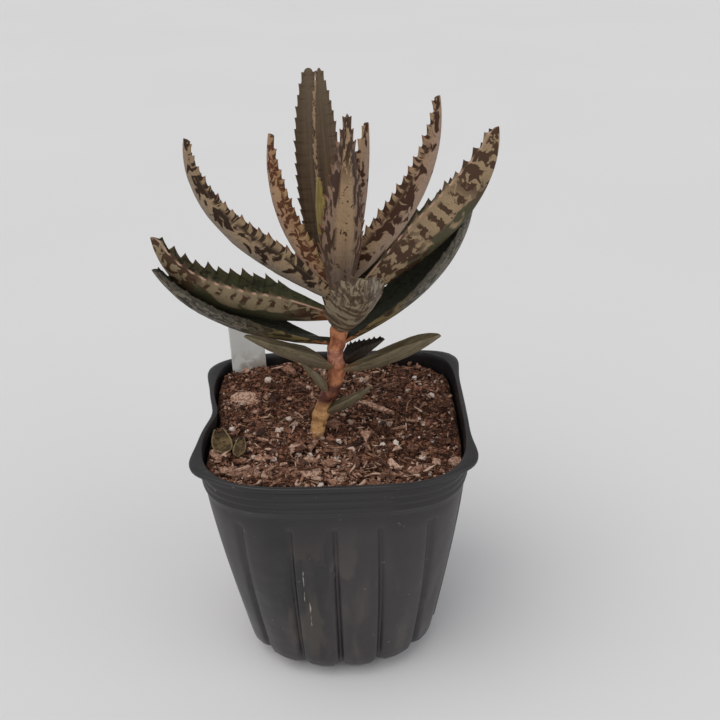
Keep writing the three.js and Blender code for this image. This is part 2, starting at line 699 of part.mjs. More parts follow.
// A small bowl: its edges and its ends curl up
function makeShedLeaf(shed, soilCutter) {
  const { thick, cutOff } = SHED_BLADE;
  const endLift = SHED_BLADE.endLift * shed.cup;
  const edge = SHED_BLADE.edgeLift * shed.cup;
  const topEdge = edge + thick;
  const section = [[-1, edge], [0, 0], [1, edge], [1, topEdge], [0, thick], [-1, topEdge]];
  const rings = SHED_BLADE.stations.map((s) => {
    const outline = Math.sin(Math.PI * lerp(cutOff, 1 - cutOff, s)) ** SHED_BLADE.roundness;
    const half = shed.width / 2 * outline;
    const x = (s - 0.5) * shed.length;
    const lift = endLift * (2 * s - 1) ** 2;
    return section.map(([side, height]) => new THREE.Vector3(x, side * half, lift + height));
  });
  const endHeight = endLift + thick;
  const endPlace = shed.length / 2 + SHED_BLADE.endPoint;
  const tail = new THREE.Vector3(-endPlace, 0, endHeight);
  const tip = new THREE.Vector3(endPlace, 0, endHeight);
  const body = bodyFromRings(rings, tail, tip);
  body.rotateZ(shed.turn * RAD);
  body.translate(shed.x, shed.y, soilHeight(shed.x, shed.y));
  return largestPiece(solidOf(body).subtract(soilCutter));
}

// ---------------------------------------------------------------- the potted plant

const plant = new THREE.Group();
const stemCutter = makeStem(GAP);
const leaves = makeLeaves(stemCutter);
const bareSoil = makeSoil();
const soil = largestPiece(bareSoil.subtract(stemCutter).subtract(makeLabel(GAP)));
const movedSoil = (lift) => solidOf(geometryOf(bareSoil).translate(0, 0, lift));
const soilCutter = bareSoil.add(movedSoil(GAP)).add(movedSoil(-GAP));

plant.add(finish('pot', geometryOf(makePot()), COLOURS.pot, 0.5));
plant.add(finish('potting_mix', geometryOf(soil), COLOURS.soil, 0.95));
plant.add(finish('stem', geometryOf(makeStem(0)), COLOURS.stem, 0.7));
for (const { leaf, solid } of leaves) {
  plant.add(finish(leaf.name, geometryOf(solid), COLOURS[leaf.kind], 0.6));
}
plant.add(finish('plant_label', geometryOf(makeLabel(0)), COLOURS.label, 0.4));
for (const shed of SHED) {
  plant.add(finish(shed.name, geometryOf(makeShedLeaf(shed, soilCutter)), COLOURS.shed, 0.9));
}

export default plant;
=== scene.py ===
"""A potted mother of thousands in a soft square nursery pot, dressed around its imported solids."""
import math
import random
from types import SimpleNamespace as Sizes

import bpy
import numpy as np
from mathutils import Matrix, Vector, noise


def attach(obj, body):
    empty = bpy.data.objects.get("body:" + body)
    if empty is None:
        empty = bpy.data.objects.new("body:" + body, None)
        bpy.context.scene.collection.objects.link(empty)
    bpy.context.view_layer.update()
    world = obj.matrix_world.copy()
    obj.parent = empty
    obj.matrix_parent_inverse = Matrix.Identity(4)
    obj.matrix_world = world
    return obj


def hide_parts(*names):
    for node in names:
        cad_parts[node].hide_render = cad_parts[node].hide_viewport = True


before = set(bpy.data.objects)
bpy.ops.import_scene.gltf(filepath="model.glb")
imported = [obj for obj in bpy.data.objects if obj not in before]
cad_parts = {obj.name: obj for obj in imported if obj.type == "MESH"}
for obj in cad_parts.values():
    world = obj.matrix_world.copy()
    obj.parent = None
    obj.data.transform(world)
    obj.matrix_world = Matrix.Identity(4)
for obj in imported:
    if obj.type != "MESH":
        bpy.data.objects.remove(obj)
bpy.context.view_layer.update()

MM = 0.001
RAD = math.pi / 180
FULL_TURN = 2 * math.pi

# ---- sizes shared with the solids, in mm and degrees

POT = Sizes(height=110, wall=1.1, floor=1.4, mouth_half=53.6, belly_half=41.6, wall_curve=1.45,
            foot_round=6.8, foot_height=9, foot_curve=1.3, base_squareness=2.2, front_squareness=4,
            back_squareness=6, front_reach=1.036, back_reach=0.964, flutes=16, flute_depth=1.2,
            foot_flute_depth=2.7, flute_drift=11.7, flute_half_angle=2.5, flute_top=87, flute_end=91,
            panel_swell=0.7, collar_from=96, collar_step=0.5, ridges=3, ridge_pitch=3.3, ridge_height=0.6,
            ridges_from=0.7, lip_thick=2.6, lip_width=0.9, ear_width=4.2, ear_spread=9,
            ear_angles=(216, 325, 146, 40), dent_depth=4, dent_angle=180, dent_spread=14, foot_inset=3,
            drain_radius=3.2, drain_circle=23, drain_holes=6)

SOIL = Sizes(level=102.4, rise_back=0.045, rise_left=0.03, lumps=0.8, clearance=0.45, underside=1.8)

# route: x and height of the points that the stem goes through
STEM = Sizes(radius=3.1, collar=0.5, collar_half=2.2, crown_from=158, crown_thinning=0.45, y=-8.4,
             route=((-9.6, 78), (-8.8, 92), (-7.8, 101.6), (-5.3, 113.6), (-3.4, 119.2), (0, 124.8),
                    (2.3, 132), (1, 140.7), (2.7, 146.4), (3.7, 153), (4.3, 159.4), (4.1, 165.8), (3.6, 174)))

BLADE = dict(widest_at=0.33, foot_share=0.3, taper=1.6, tip_share=0.13, rib_thick=2.6, edge_thick=0.9,
             belly=0.1, root_out=2.5, tooth_from=0.2, tooth_to=0.985, tooth_depth=2.4, tooth_width=24,
             tooth_shrink=0.55, tooth_at=0.52, tooth_lean=0.42, slim_below=16, slim_share=0.7, keel_steps=40)

LEAF_KEYS = ("name", "z", "azimuth", "rise", "bend", "length", "width", "fold", "twist", "sweep",
             "teeth", "look")
# The values of LEAF_KEYS, and what differs from BLADE. z is the height on the stem; rise and twist
# are given at foot and tip. Three leaves are 0.2 to 0.6 mm shorter than their solids, so that their
# thorns stay inside the solids' box, and the withered stub is ragged.
LEAVES = (
    ("young_front", 173, 194, (71, 98), 1, 41, 16, 25, (0, 0), 0, 6, "young", {}),
    ("young_back", 173, 95, (84, 92), 1, 32, 8, 40, (0, 0), 0, 5, "young", {}),
    ("inner_right", 169.5, 344, (70, 92), 1, 65, 18, 58, (-26, -26), 0, 11, "pink", {}),
    ("inner_left", 169, 171, (28, 101), 0.7, 67, 16, 58, (28, 28), 3, 13, "rusty", {}),
    ("upper_right", 168.5, 354.5, (43, 99), 1.5, 85, 21, 60, (-30, -30), 0, 15, "pink", {}),
    ("upper_left", 162.5, 172, (26, 105), 2.1, 90, 22, 60, (30, 30), 0, 15, "tan", {}),
    ("front_tall", 161, 279, (60, 77), 1, 90, 24, 51, (0, 0), -3, 14, "striped",
     dict(taper=1.35, tip_share=0.05)),
    ("back_tall", 161, 100, (70, 48), 1, 94, 10.6, 20, (0, 0), -5, 17, "edged",
     dict(widest_at=0.5, taper=2.3, tip_share=0.12)),
    ("broad_right", 160, 10, (28, 100), 2.2, 94.8, 33, 60, (0, -38), -3, 11, "broad",
     dict(widest_at=0.42, taper=2.2, foot_share=0.2)),
    ("broad_left", 155.5, 187, (2, 87), 1.75, 85, 31, 64, (-1, -8), 8, 11, "broad_left",
     dict(widest_at=0.38, foot_share=0.22)),
    ("front_low", 151, 284, (24, 66), 1, 55, 24, 38, (0, -8), 2, 9, "cup",
     dict(widest_at=0.5, taper=3)),
    ("back_low", 150, 108, (50, 60), 1, 108.4, 13.6, 20, (0, -8), -20, 18, "back",
     dict(widest_at=0.55, taper=2.5, tip_share=0.22)),
    ("low_left", 144.5, 190, (12, 66), 1.65, 79.4, 22, 42, (0, 0), 8, 11, "low",
     dict(widest_at=0.5, foot_share=0.12)),
    ("low_right", 144, 18, (20, 82), 1.6, 78, 27, 44, (0, 0), -4, 10, "shaded",
     dict(widest_at=0.6, taper=2.2, foot_share=0.18)),
    ("stub_back", 135.5, 29, (-4, 36), 1, 21, 13, 50, (0, 0), 0, 8, "withered", {}),
    ("small_left", 133.5, 209, (25, 44), 1, 44, 15, 47, (0, 0), 0, 0, "olive", {}),
    ("small_right", 132.5, 333, (16, 46), 1, 49, 15, 46, (0, 3), 0, 0, "olive",
     dict(widest_at=0.55, taper=2.4)),
    ("bract_left", 123, 215, (55, 62), 1, 22, 8, 47, (0, 0), 0, 0, "olive", {}),
    ("bract_right", 113, 341, (18, 62), 1, 26, 10, 52, (0, 0), 0, 0, "olive", {}),
)

LABEL = Sizes(width=16, thick=1, below=22, above=25, corner=2, point=14, x=-39.5, y=44.5, turn=24, lean=4)

# Shares of the cup that the ends and the edges rise by, of the thickness, and of the way along
SHED_BLADE = Sizes(thick=0.8, thick_share=0.7, roundness=0.5, end_lift=0.6, edge_lift=0.56, crinkle=0.21,
                   starts=0.06, ends=0.94, tip_length=0.4, tip_lift=0.3, lift=0.35)
SHED = (Sizes(name="shed_leaf_left", x=-45.6, y=-17, length=17.5, width=8.3, turn=104, cup=3),
        Sizes(name="shed_leaf_front", x=-38, y=-22, length=11.5, width=5.2, turn=88, cup=2.2))


# ---- camera, light and floor

CAMERA = Sizes(at=(11.2, -359.9, 324.2), looks_down=28, roll=-1.4, lens=50, sensor=36)  # mm, degrees
# name, way from the plant to the light, strength, width in degrees, colour
SUNS = (("key", (-0.45, -0.35, 1.0), 1.25, 55, (1.0, 0.985, 0.955)),
        ("fill", (1.0, -0.55, 0.5), 0.55, 50, (0.93, 0.97, 1.0)),
        ("front", (-0.2, -1.0, 0.35), 0.3, 50, (1.0, 1.0, 1.0)))
ROOM_COLOUR = (0.95, 0.965, 0.98, 1)
ROOM_STRENGTH = 0.5
FLOOR_HALF = 6.0                      # m


def add_object(name, data):
    thing = bpy.data.objects.new(name, data)
    bpy.context.scene.collection.objects.link(thing)
    return thing


def make_camera():
    pitch, roll = CAMERA.looks_down * RAD, CAMERA.roll * RAD
    forward = Vector((0, math.cos(pitch), -math.sin(pitch)))
    level = Vector((1, 0, 0))
    upright = level.cross(forward)
    right = level * math.cos(roll) + upright * math.sin(roll)
    up = upright * math.cos(roll) - level * math.sin(roll)
    data = bpy.data.cameras.new("camera")
    data.sensor_width = CAMERA.sensor
    data.lens = CAMERA.lens
    camera = add_object("camera", data)
    facing = Matrix((right, up, -forward)).transposed().to_4x4()
    camera.matrix_world = Matrix.Translation(Vector(CAMERA.at) * MM) @ facing
    bpy.context.scene.camera = camera


def make_studio():
    """Far lights as wide as studio softboxes, in a pale room."""
    for name, toward, strength, spread, colour in SUNS:
        data = bpy.data.lights.new(name, "SUN")
        data.energy = strength
        data.angle = spread * RAD
        data.color = colour
        light = add_object(name, data)
        light.rotation_euler = Vector(toward).to_track_quat("Z", "Y").to_euler()
        light.location = Vector(toward).normalized() * 2
    world = bpy.data.worlds.new("soft_room")
    world.use_nodes = True
    back = world.node_tree.nodes["Background"]
    back.inputs["Color"].default_value = ROOM_COLOUR
    back.inputs["Strength"].default_value = ROOM_STRENGTH
    bpy.context.scene.world = world
    bpy.context.scene.view_settings.view_transform = "Standard"


def make_floor():
    mesh = bpy.data.meshes.new("floor")
    corners = [(x * FLOOR_HALF, y * FLOOR_HALF, 0) for x, y in ((-1, -1), (1, -1), (1, 1), (-1, 1))]
    mesh.from_pydata(corners, [], [(0, 1, 2, 3)])
    shader = Shader("pale_floor", 0.8, 0.2)
    shader.coat = shader.mix(shader.noise(shader.place(), 3), (220, 219, 220), (226, 225, 225))
    mesh.materials.append(shader.finish())
    add_object("floor", mesh)


# ---- shaders

def linear(red, green, blue):
    """A colour given as 0 to 255 screen values, as the shaders want it."""
    def one(value):
        value /= 255
        return value / 12.92 if value <= 0.04045 else ((value + 0.055) / 1.055) ** 2.4
    return (one(red), one(green), one(blue), 1.0)


class Shader:
    """One Principled material, with short calls that add its nodes. coat is the colour so far."""

    def __init__(self, name, roughness, specular):
        self.material = bpy.data.materials.new(name)
        self.material.use_nodes = True
        self.tree = self.material.node_tree
        self.set("Roughness", roughness)
        self.set("Specular IOR Level", specular)

    def feed(self, socket, value):
        if isinstance(value, bpy.types.NodeSocket):
            self.tree.links.new(value, socket)
        else:
            socket.default_value = value

    def set(self, name, value):
        self.feed(self.tree.nodes["Principled BSDF"].inputs[name], value)

    def node(self, kind, inputs):
        """Adds a node and feeds its inputs, which are keyed by the socket's name or number."""
        node = self.tree.nodes.new("ShaderNode" + kind)
        for key, value in inputs.items():
            self.feed(node.inputs[key], value)
        return node

    def place(self):
        return self.node("TexCoord", {}).outputs["Object"]

    def attribute(self, name, output="Fac"):
        node = self.node("Attribute", {})
        node.attribute_name = name
        return node.outputs[output]

    def split(self, vector):
        return self.node("SeparateXYZ", {0: vector}).outputs

    def math(self, operation, first, *others):
        """Takes the others one by one: math("ADD", a, b, c) is a + b + c."""
        for other in others or [0.0]:
            node = self.node("Math", {0: first, 1: other})
            node.operation = operation
            first = node.outputs[0]
        return first

    def times(self, *factors):
        return self.math("MULTIPLY", *factors)

    def noise(self, vector, scale, detail=2, twist=0, stretch=None):
        if stretch:
            node = self.node("VectorMath", {0: vector, 1: stretch})
            node.operation = "MULTIPLY"
            vector = node.outputs[0]
        settings = dict(Vector=vector, Scale=scale, Detail=detail, Distortion=twist)
        return self.node("TexNoise", settings).outputs["Fac"]

    def step(self, value, low, high, start=0, end=1):
        """Goes smoothly from start to end as value goes from low to high."""
        node = self.node("MapRange", {"Value": value, "From Min": low, "From Max": high,
                                      "To Min": start, "To Max": end})
        node.interpolation_type = "SMOOTHSTEP"
        return node.outputs[0]

    def mix(self, share, first, second):
        """Goes from the first colour to the second one. A tuple is a colour in screen values."""
        first, second = (linear(*colour) if isinstance(colour, tuple) else colour
                         for colour in (first, second))
        node = self.node("Mix", {0: share, 6: first, 7: second})
        node.data_type = "RGBA"
        return node.outputs[2]

    def paint(self, share, colour):
        """Lays a colour over the coat where share is 1."""
        self.coat = self.mix(share, self.coat, colour)

    def bump(self, height, depth_mm, below=None):
        node = self.node("Bump", {"Distance": depth_mm * MM, "Height": height})
        if below is not None:
            self.feed(node.inputs["Normal"], below)
        self.set("Normal", node.outputs[0])
        return node.outputs[0]

    def finish(self):
        self.set("Base Color", self.coat)
        return self.material


# ---- mesh pieces

def make_piece(name, points, faces, material, slot, replaced=(), values=None, smooth=True):
    """points in mm. values maps an attribute's name to one number or one vector per point."""
    mesh = bpy.data.meshes.new(name)
    mesh.from_pydata((np.asarray(points) * MM).tolist(), [], faces)
    mesh.validate()
    for key, numbers in (values or {}).items():
        numbers = np.asarray(numbers, np.float32)
        kind, field = ("FLOAT", "value") if numbers.ndim == 1 else ("FLOAT_VECTOR", "vector")
        mesh.attributes.new(key, kind, "POINT").data.foreach_set(field, numbers.ravel())
    mesh.polygons.foreach_set("use_smooth", [smooth] * len(mesh.polygons))
    mesh.materials.append(material)
    piece = add_object(name, mesh)
    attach(piece, "root")
    if replaced:
        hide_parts(*replaced)
    return piece


def even_angles(columns):
    return np.arange(columns) * FULL_TURN / columns


def ring(radius, angles, z, x=0, y=0):
    """One ring of points round an upright axis through x, y."""
    return np.stack([x + radius * np.cos(angles), y + radius * np.sin(angles), z + 0 * angles], 1)


def closed_rings(rings, first_tip, last_tip):
    """A body skinned over rings that turn left going up, with a fan at each end: points, faces."""
    rings = np.asarray(rings)
    rows, columns = rings.shape[:2]
    points = np.vstack([rings.reshape(-1, 3), [first_tip], [last_tip]])
    after = [(i, (i + 1) % columns) for i in range(columns)]
    starts = range(0, (rows - 1) * columns, columns)
    faces = [(low + i, low + j, low + columns + j, low + columns + i) for low in starts for i, j in after]
    last = (rows - 1) * columns
    for i, j in after:
        faces.append((rows * columns, j, i))
        faces.append((rows * columns + 1, last + i, last + j))
    return points, faces


def turned(points, yaw, pitch, roll):
    turns = [Matrix.Rotation(angle, 3, axis) for angle, axis in ((yaw, "Z"), (pitch, "Y"), (roll, "X"))]
    return points @ np.array(turns[0] @ turns[1] @ turns[2]).T


def smoothstep(value, low, high):
    share = np.clip((np.asarray(value, float) - low) / (high - low), 0, 1)
    return share * share * (3 - 2 * share)


def rough_field(points, size_mm, seed):
    """Noise from -1 to 1 at each point, with lumps of about size_mm."""
    shift = Vector((seed * 17.3, seed * -9.1, seed * 4.7))
    return np.array([noise.noise(Vector(p) / size_mm + shift) for p in np.asarray(points)])


# ---- pot

# The flutes end in small arches at the foot, and are wider there, in mm and degrees
ARCH = Sizes(rise=2.2, up_to=6, opening=6.0, opening_up_to=13)
FLUTE_EDGE = POT.flute_half_angle + 0.1
FLUTE_COLUMNS = (-1, -0.66, -0.33, 0, 0.33, 0.66, 1)
PANEL_COLUMNS = 8
COLLAR_SOFT = 0.6
SAG = Sizes(depth=0.35, waves=3, phase=0.6, from_height=20)
DRAIN_SIDES = 32
DRAIN_DEPTH = 8
# Rings of the pot's section. At the foot: height, offset from the outer wall
FOOT_RINGS = ((0, -POT.foot_inset), (0, -1.2), (0.25, -0.3), (0.9, 0))
WALL_HEIGHTS = (*np.arange(2, 86, 3.5), *np.arange(86, 92, 0.75), 93.5, 95.2, 96, 96.6)
RIDGE_STEPS = (0, 0.2, 0.35, 0.5, 0.65, 0.8)
# At the lip: height over its foot, share of its width. At the top: depth under it, offset, share
LIP_RINGS = ((0, 0), (0.35, 0.75), (0.8, 0.97), (1.5, 1))
TOP_RINGS = ((0.5, 0, 1), (0.1, -0.15, 0.93), (0, -0.4, 0.7), (0, 0.3 - POT.wall, 0), (0.4, -POT.wall, 0))
INSIDE_HEIGHTS = (107, 104, 100, 96, *np.arange(93, 86, -1.2), *np.arange(84, 4, -8), 3, 2)
FLOOR_INSET = 1.5


def superellipse(angle, reach, exponent):
    x = np.abs(np.cos(angle))
    y = np.abs(np.sin(angle)) / reach
    return (x ** exponent + y ** exponent) ** (-1 / exponent)


def angle_between(angle, degrees):
    return np.abs((angle / RAD - degrees + 540) % 360 - 180)


def mouth_shape(angle):
    front = superellipse(angle, POT.front_reach, POT.front_squareness)
    back = superellipse(angle, POT.back_reach, POT.back_squareness)
    return np.where(np.sin(angle) < 0, front, back)


def body_half(z):
    below = np.maximum(0, 1 - z / POT.collar_from)
    foot = np.maximum(0, 1 - z / POT.foot_height)
    gain = (POT.mouth_half - POT.belly_half) * below ** POT.wall_curve
    return POT.mouth_half - gain - POT.foot_round * foot ** POT.foot_curve


def body_radius(angle, z):
    share = z / POT.height
    base = superellipse(angle, 1, POT.base_squareness)
    shape = base + (mouth_shape(angle) - base) * share
    off_dent = angle_between(angle, POT.dent_angle) / POT.dent_spread
    return body_half(z) * shape - POT.dent_depth * np.exp(-off_dent ** 2) * share ** 3


def flute_depth(z):
    depth = np.interp(z, (0, POT.flute_top), (POT.foot_flute_depth, POT.flute_depth))
    return depth * (1 - smoothstep(z, POT.flute_top, POT.flute_end))


def drifted(angle, z):
    """Where the column that starts at this angle at the foot stands at height z."""
    share = np.minimum(1, z / POT.flute_top)
    return angle - POT.flute_drift * RAD * share * np.cos(angle)


def off_flute(angle):
    pitch = 360 / POT.flutes
    turn = (angle / RAD + 90) % pitch
    return np.minimum(turn, pitch - turn)


def in_flute(angle, z):
    """1 on the deepest line of a flute, rounded off towards its edges. It opens out at the foot."""
    opening = ARCH.opening * np.maximum(0, 1 - z / ARCH.opening_up_to)
    return (1 - smoothstep(off_flute(angle), 0.2, FLUTE_EDGE + opening)) ** 1.5


def wall_radius(angle, z):
    """The outer wall of the columns, named by their angles at the foot."""
    swell = POT.panel_swell * (off_flute(angle) * POT.flutes / 180) * (1 - z / POT.height)
    flute = in_flute(angle, z) * flute_depth(z)
    collar = POT.collar_step * smoothstep(z, POT.collar_from - COLLAR_SOFT, POT.collar_from + COLLAR_SOFT)
    return body_radius(drifted(angle, z), z) + swell - flute + collar


def ear_share(angle):
    return sum(np.exp(-(angle_between(angle, degrees) / POT.ear_spread) ** 2)
               for degrees in POT.ear_angles)


def pot_angles():
    """Closer together in the flutes than on the panels."""
    pitch = 360 / POT.flutes
    panel = pitch - 2 * FLUTE_EDGE
    offsets = [share * FLUTE_EDGE for share in FLUTE_COLUMNS]
    offsets += [FLUTE_EDGE + panel * i / PANEL_COLUMNS for i in range(1, PANEL_COLUMNS)]
    return np.array([(-90 + flute * pitch + offset) * RAD
                     for flute in range(POT.flutes) for offset in offsets])


def pot_profile():
    """Height, offset from the outer wall and share of the lip: up the outside, down the inside."""
    rings = [(z, offset, 0) for z, offset in FOOT_RINGS]
    rings += [(z, 0, 0) for z in WALL_HEIGHTS]
    for i in range(POT.ridges):
        valley = POT.collar_from + POT.ridges_from + i * POT.ridge_pitch
        for share in RIDGE_STEPS:
            rise = POT.ridge_height * math.sin(math.pi * share) ** 1.5
            rings.append((valley + share * POT.ridge_pitch, rise, 0))
    rings += [(POT.height - POT.lip_thick + up, 0, share) for up, share in LIP_RINGS]
    rings += [(POT.height - down, offset, share) for down, offset, share in TOP_RINGS]
    rings += [(z, -POT.wall, 0) for z in INSIDE_HEIGHTS]
    rings.append((POT.floor, -POT.wall - FLOOR_INSET, 0))
    return rings


def make_pot(material):
    columns = pot_angles()
    rings = []
    for z, offset, lip in pot_profile():
        angles = drifted(columns, z)
        wall = wall_radius(columns, z if lip == 0 else POT.height - POT.lip_thick)
        radius = wall + offset + lip * (POT.lip_width + POT.ear_width * ear_share(angles))
        level = z == POT.floor or offset == -POT.foot_inset
        arched = not level and (z == 0 or offset > 0.5 - POT.wall)
        lift = ARCH.rise * in_flute(columns, z) * max(0, 1 - z / ARCH.up_to) * arched
        sag = SAG.depth * np.sin(SAG.waves * angles + SAG.phase) * (z / POT.height) ** 2
        rings.append(ring(radius, angles, z + lift - abs(sag) * (z > SAG.from_height)))
    points, faces = closed_rings(rings, (0, 0, 0), (0, 0, POT.floor))
    return make_piece("nursery_pot", points, faces, material, "pot_plastic", ["pot"])


def cut_drain_holes(pot):
    for i in range(POT.drain_holes):
        turn = (i + 0.5) * FULL_TURN / POT.drain_holes
        place = (POT.drain_circle * math.cos(turn) * MM, POT.drain_circle * math.sin(turn) * MM, 0)
        bpy.ops.mesh.primitive_cylinder_add(vertices=DRAIN_SIDES, radius=POT.drain_radius * MM,
                                            depth=DRAIN_DEPTH * MM, location=place)
        tool = bpy.context.active_object
        modifier = pot.modifiers.new("hole", "BOOLEAN")
        modifier.operation = "DIFFERENCE"
        modifier.solver = "EXACT"
        modifier.object = tool
        bpy.context.view_layer.objects.active = pot
        bpy.ops.object.modifier_apply(modifier="hole")
        bpy.data.objects.remove(tool)


# Places on the pot are in m. Dried mix that ran down the front: middle, half width, lower end,
# strength, colour. The two longest scratches: middle, lower end, upper end.
STAINS = ((-0.011, 0.0055, 0.004, 0.5, (72, 62, 54)), (0.003, 0.003, 0.03, 0.4, (82, 74, 68)))
STAIN_SOFT = 0.003
SCRATCHES = ((-0.0133, 0.048, 0.068), (-0.0113, 0.034, 0.05))
SCRATCH_HALF = 0.0008
SCRATCH_WANDER = 0.0014


def off_line(shader, x, middle, wander):
    """Distance from an upright line that wanders."""
    off = shader.math("ABSOLUTE", shader.math("SUBTRACT", x, middle))
    return shader.math("ADD", off, wander)


def pot_stains(shader, place):
    x, y, z = shader.split(place)
    front = shader.times(shader.step(y, 0, -0.02), shader.step(z, 0.096, 0.066))
    ragged = shader.noise(place, 110, 4, 0.5, (1, 1, 0.35))
    ragged = shader.step(ragged, 0.3, 0.7, 2 * STAIN_SOFT, -2 * STAIN_SOFT)
    for middle, half, bottom, strength, colour in STAINS:
        off = off_line(shader, x, middle, ragged)
        run = shader.step(off, half + STAIN_SOFT, half - STAIN_SOFT)
        above = shader.step(z, bottom, bottom + 0.02)
        shader.paint(shader.times(run, front, above, strength), colour)


def pot_scratches(shader, place):
    """Thin upright scratches: two at measured places and a few anywhere."""
    x, y, z = shader.split(place)
    fine = shader.times(shader.noise(place, 900, 3, 0, (1, 1, 0.2)), SCRATCH_WANDER)
    front = shader.step(y, 0, -0.02)
    for middle, low, high in SCRATCHES:
        line = shader.step(off_line(shader, x, middle, fine), SCRATCH_HALF + 0.0001, SCRATCH_HALF - 0.0001)
        ends = shader.times(shader.step(z, low, low + 0.002), shader.step(z, high, high - 0.002))
        shader.paint(shader.times(line, ends, front, 0.6), (176, 166, 156))
    loose = shader.step(shader.noise(place, 300, 1, 0, (1.6, 1.6, 0.12)), 0.76, 0.79)
    gate = shader.step(shader.noise(place, 34, 1), 0.6, 0.68)
    shader.paint(shader.times(loose, gate, 0.5), (160, 156, 152))


def pot_material():
    shader = Shader("thin_black_plastic", 0.4, 0.5)
    place = shader.place()
    z = shader.split(place)[2]
    cloudy = shader.noise(place, 34, 6, 0.8, (1, 1, 0.4))
    shader.coat = shader.mix(shader.step(cloudy, 0.3, 0.7), (20, 18, 20), (46, 43, 45))
    wide = shader.noise(place, 16, 2, 0, (1, 1, 0.25))
    shader.paint(shader.step(wide, 0.42, 0.62, 0, 0.45), (54, 46, 47))
    # Painted shade: darker from the flutes' ends up over the collar, rim and inner wall, under the leaves
    shader.paint(shader.step(z, 0.084, 0.098, 0, 0.6), (18, 17, 19))
    runs = shader.step(shader.noise(place, 95, 3, 0.3, (1, 1, 0.1)), 0.5, 0.72)
    shader.paint(shader.times(runs, shader.step(z, 0.09, 0.05), 0.3), (104, 96, 90))
    pot_stains(shader, place)
    pot_scratches(shader, place)
    grains = shader.noise(place, 420, 3)
    shader.paint(shader.times(shader.step(grains, 0.7, 0.74), 0.35), (130, 120, 112))
    shader.set("Roughness", shader.step(cloudy, 0.3, 0.7, 0.33, 0.5))
    dents = shader.bump(shader.noise(place, 55), 0.7)
    shader.bump(grains, 0.05, dents)
    return shader.finish()


# ---- stem

STEM_COLUMNS = 48
STEM_STEP = 0.5
STEM_SMOOTHING = 6                    # steps to each side
STEM_ENDS = (0.5, 0.7)                # how far its ends stand out
BARK_RELIEF = ((1.6, 0.35, 0.09), (6, 1.3, 0.035))    # lumps round and along the stem, depth
# The two colours of each kind of bark, and where the patches go from one to the other
BARK = dict(tan=((212, 164, 110), (160, 116, 74), 0.35, 0.65), dark=((84, 44, 34), (142, 84, 60), 0.4, 0.7),
            orange=((198, 132, 92), (142, 80, 54), 0.35, 0.65),
            pink=((206, 146, 122), (152, 92, 72), 0.35, 0.65))
# Going up from tan: the next kind of bark and the heights in m between which it comes in
BARK_BANDS = (("dark", 0.1165, 0.1205), ("orange", 0.1262, 0.129), ("pink", 0.1355, 0.1375),
              ("orange", 0.1425, 0.1445))


def stem_axis(z):
    places, heights = zip(*STEM.route)
    return np.interp(z, heights, places)


def stem_radius(z):
    swelling = np.zeros_like(z)
    for leaf in LEAVES:
        if leaf[11] != "young":
            swelling = np.maximum(swelling, 1 - np.abs(z - leaf[1]) / STEM.collar_half)
    crown = 1 - STEM.crown_thinning * smoothstep(z, STEM.crown_from, STEM.route[-1][1])
    return STEM.radius * crown + STEM.collar * np.sqrt(swelling)


def make_stem(material):
    heights = np.arange(STEM.route[0][1], STEM.route[-1][1] + 0.1, STEM_STEP)
    angles = even_angles(STEM_COLUMNS)
    window = 2 * STEM_SMOOTHING + 1
    padded = np.pad(stem_axis(heights), STEM_SMOOTHING, mode="edge")
    centre = np.convolve(padded, np.ones(window) / window, mode="valid")
    rings = []
    for z, x, radius in zip(heights, centre, stem_radius(heights)):
        bark = np.ones(STEM_COLUMNS)
        for around, along, depth in BARK_RELIEF:
            bark += [depth * noise.noise(Vector((math.cos(a) * around, math.sin(a) * around, z * along)))
                     for a in angles]
        rings.append(ring(radius * bark, angles, z, x, STEM.y))
    points, faces = closed_rings(rings, (centre[0], STEM.y, heights[0] - STEM_ENDS[0]),
                                 (centre[-1], STEM.y, heights[-1] + STEM_ENDS[1]))
    return make_piece("woody_stem", points, faces, material, "bark_stem", ["stem"])


def stem_material():
    shader = Shader("woody_stem", 0.62, 0.35)
    place = shader.place()
    z = shader.split(place)[2]
    patches = shader.noise(place, 210, 4, 0.8)
    bark = {kind: shader.mix(shader.step(patches, low, high), light, shade)
            for kind, (light, shade, low, high) in BARK.items()}
    shader.coat = bark["tan"]
    for kind, low, high in BARK_BANDS:
        shader.paint(shader.step(z, low, high), bark[kind])
    flecks = shader.noise(place, 700, 3, 0, (1, 1, 0.4))
    shader.paint(shader.step(flecks, 0.58, 0.72), (104, 60, 40))
    dusty = shader.times(shader.step(z, 0.112, 0.103), shader.step(patches, 0.42, 0.6))
    shader.paint(shader.times(dusty, 0.6), (150, 118, 88))
    shader.bump(shader.noise(place, 330, 3, 0.4, (1, 1, 3)), 0.4)
    return shader.finish()


# ---- leaves

TOOTH_STEPS = (0, 0.12, 0.24, 0.33, 0.4, 0.46, 0.52, 0.58, 0.64, 0.71, 0.8, 0.9)
TOOTH_VARIES = Sizes(by=0.25, beat=2.4)
ACROSS = (0, 0.07, 0.15, 0.25, 0.36, 0.48, 0.6, 0.71, 0.81, 0.89, 0.95, 0.985, 1.0)
END_STEPS = (0, 0.25, 0.5, 0.7, 0.85, 0.95)
FOOT_STEPS = 15
PLAIN_STEPS = 69                      # of a leaf without teeth
KEEL_SOFT = 0.07                      # how wide the fold is rounded, as a share of half a leaf
TEETH_FROM = 0.93                     # the share of half a leaf outside which the teeth pull
WAVE_LENGTH = 5.2
# What the leaves differ in from plain plates: shares of the rib, the edge and the belly
SECTION = Sizes(rib_loss=0.5, edge_share=0.85, least_edge=0.25, inner_belly=0.8, thorn_thinner=0.6)
THORN_FROM = 0.3                      # mm of tooth that counts as a thorn
# Size in mm, seed and depth of the uneven surface, how far it goes along each axis, where it fades out
UNEVEN = ((3.2, 0, 0.12), (9.0, 40, 0.22))
UNEVEN_WAY = np.array([0.5, 0.5, 0.7])
UNEVEN_UP_TO = (0.8, 0.95)


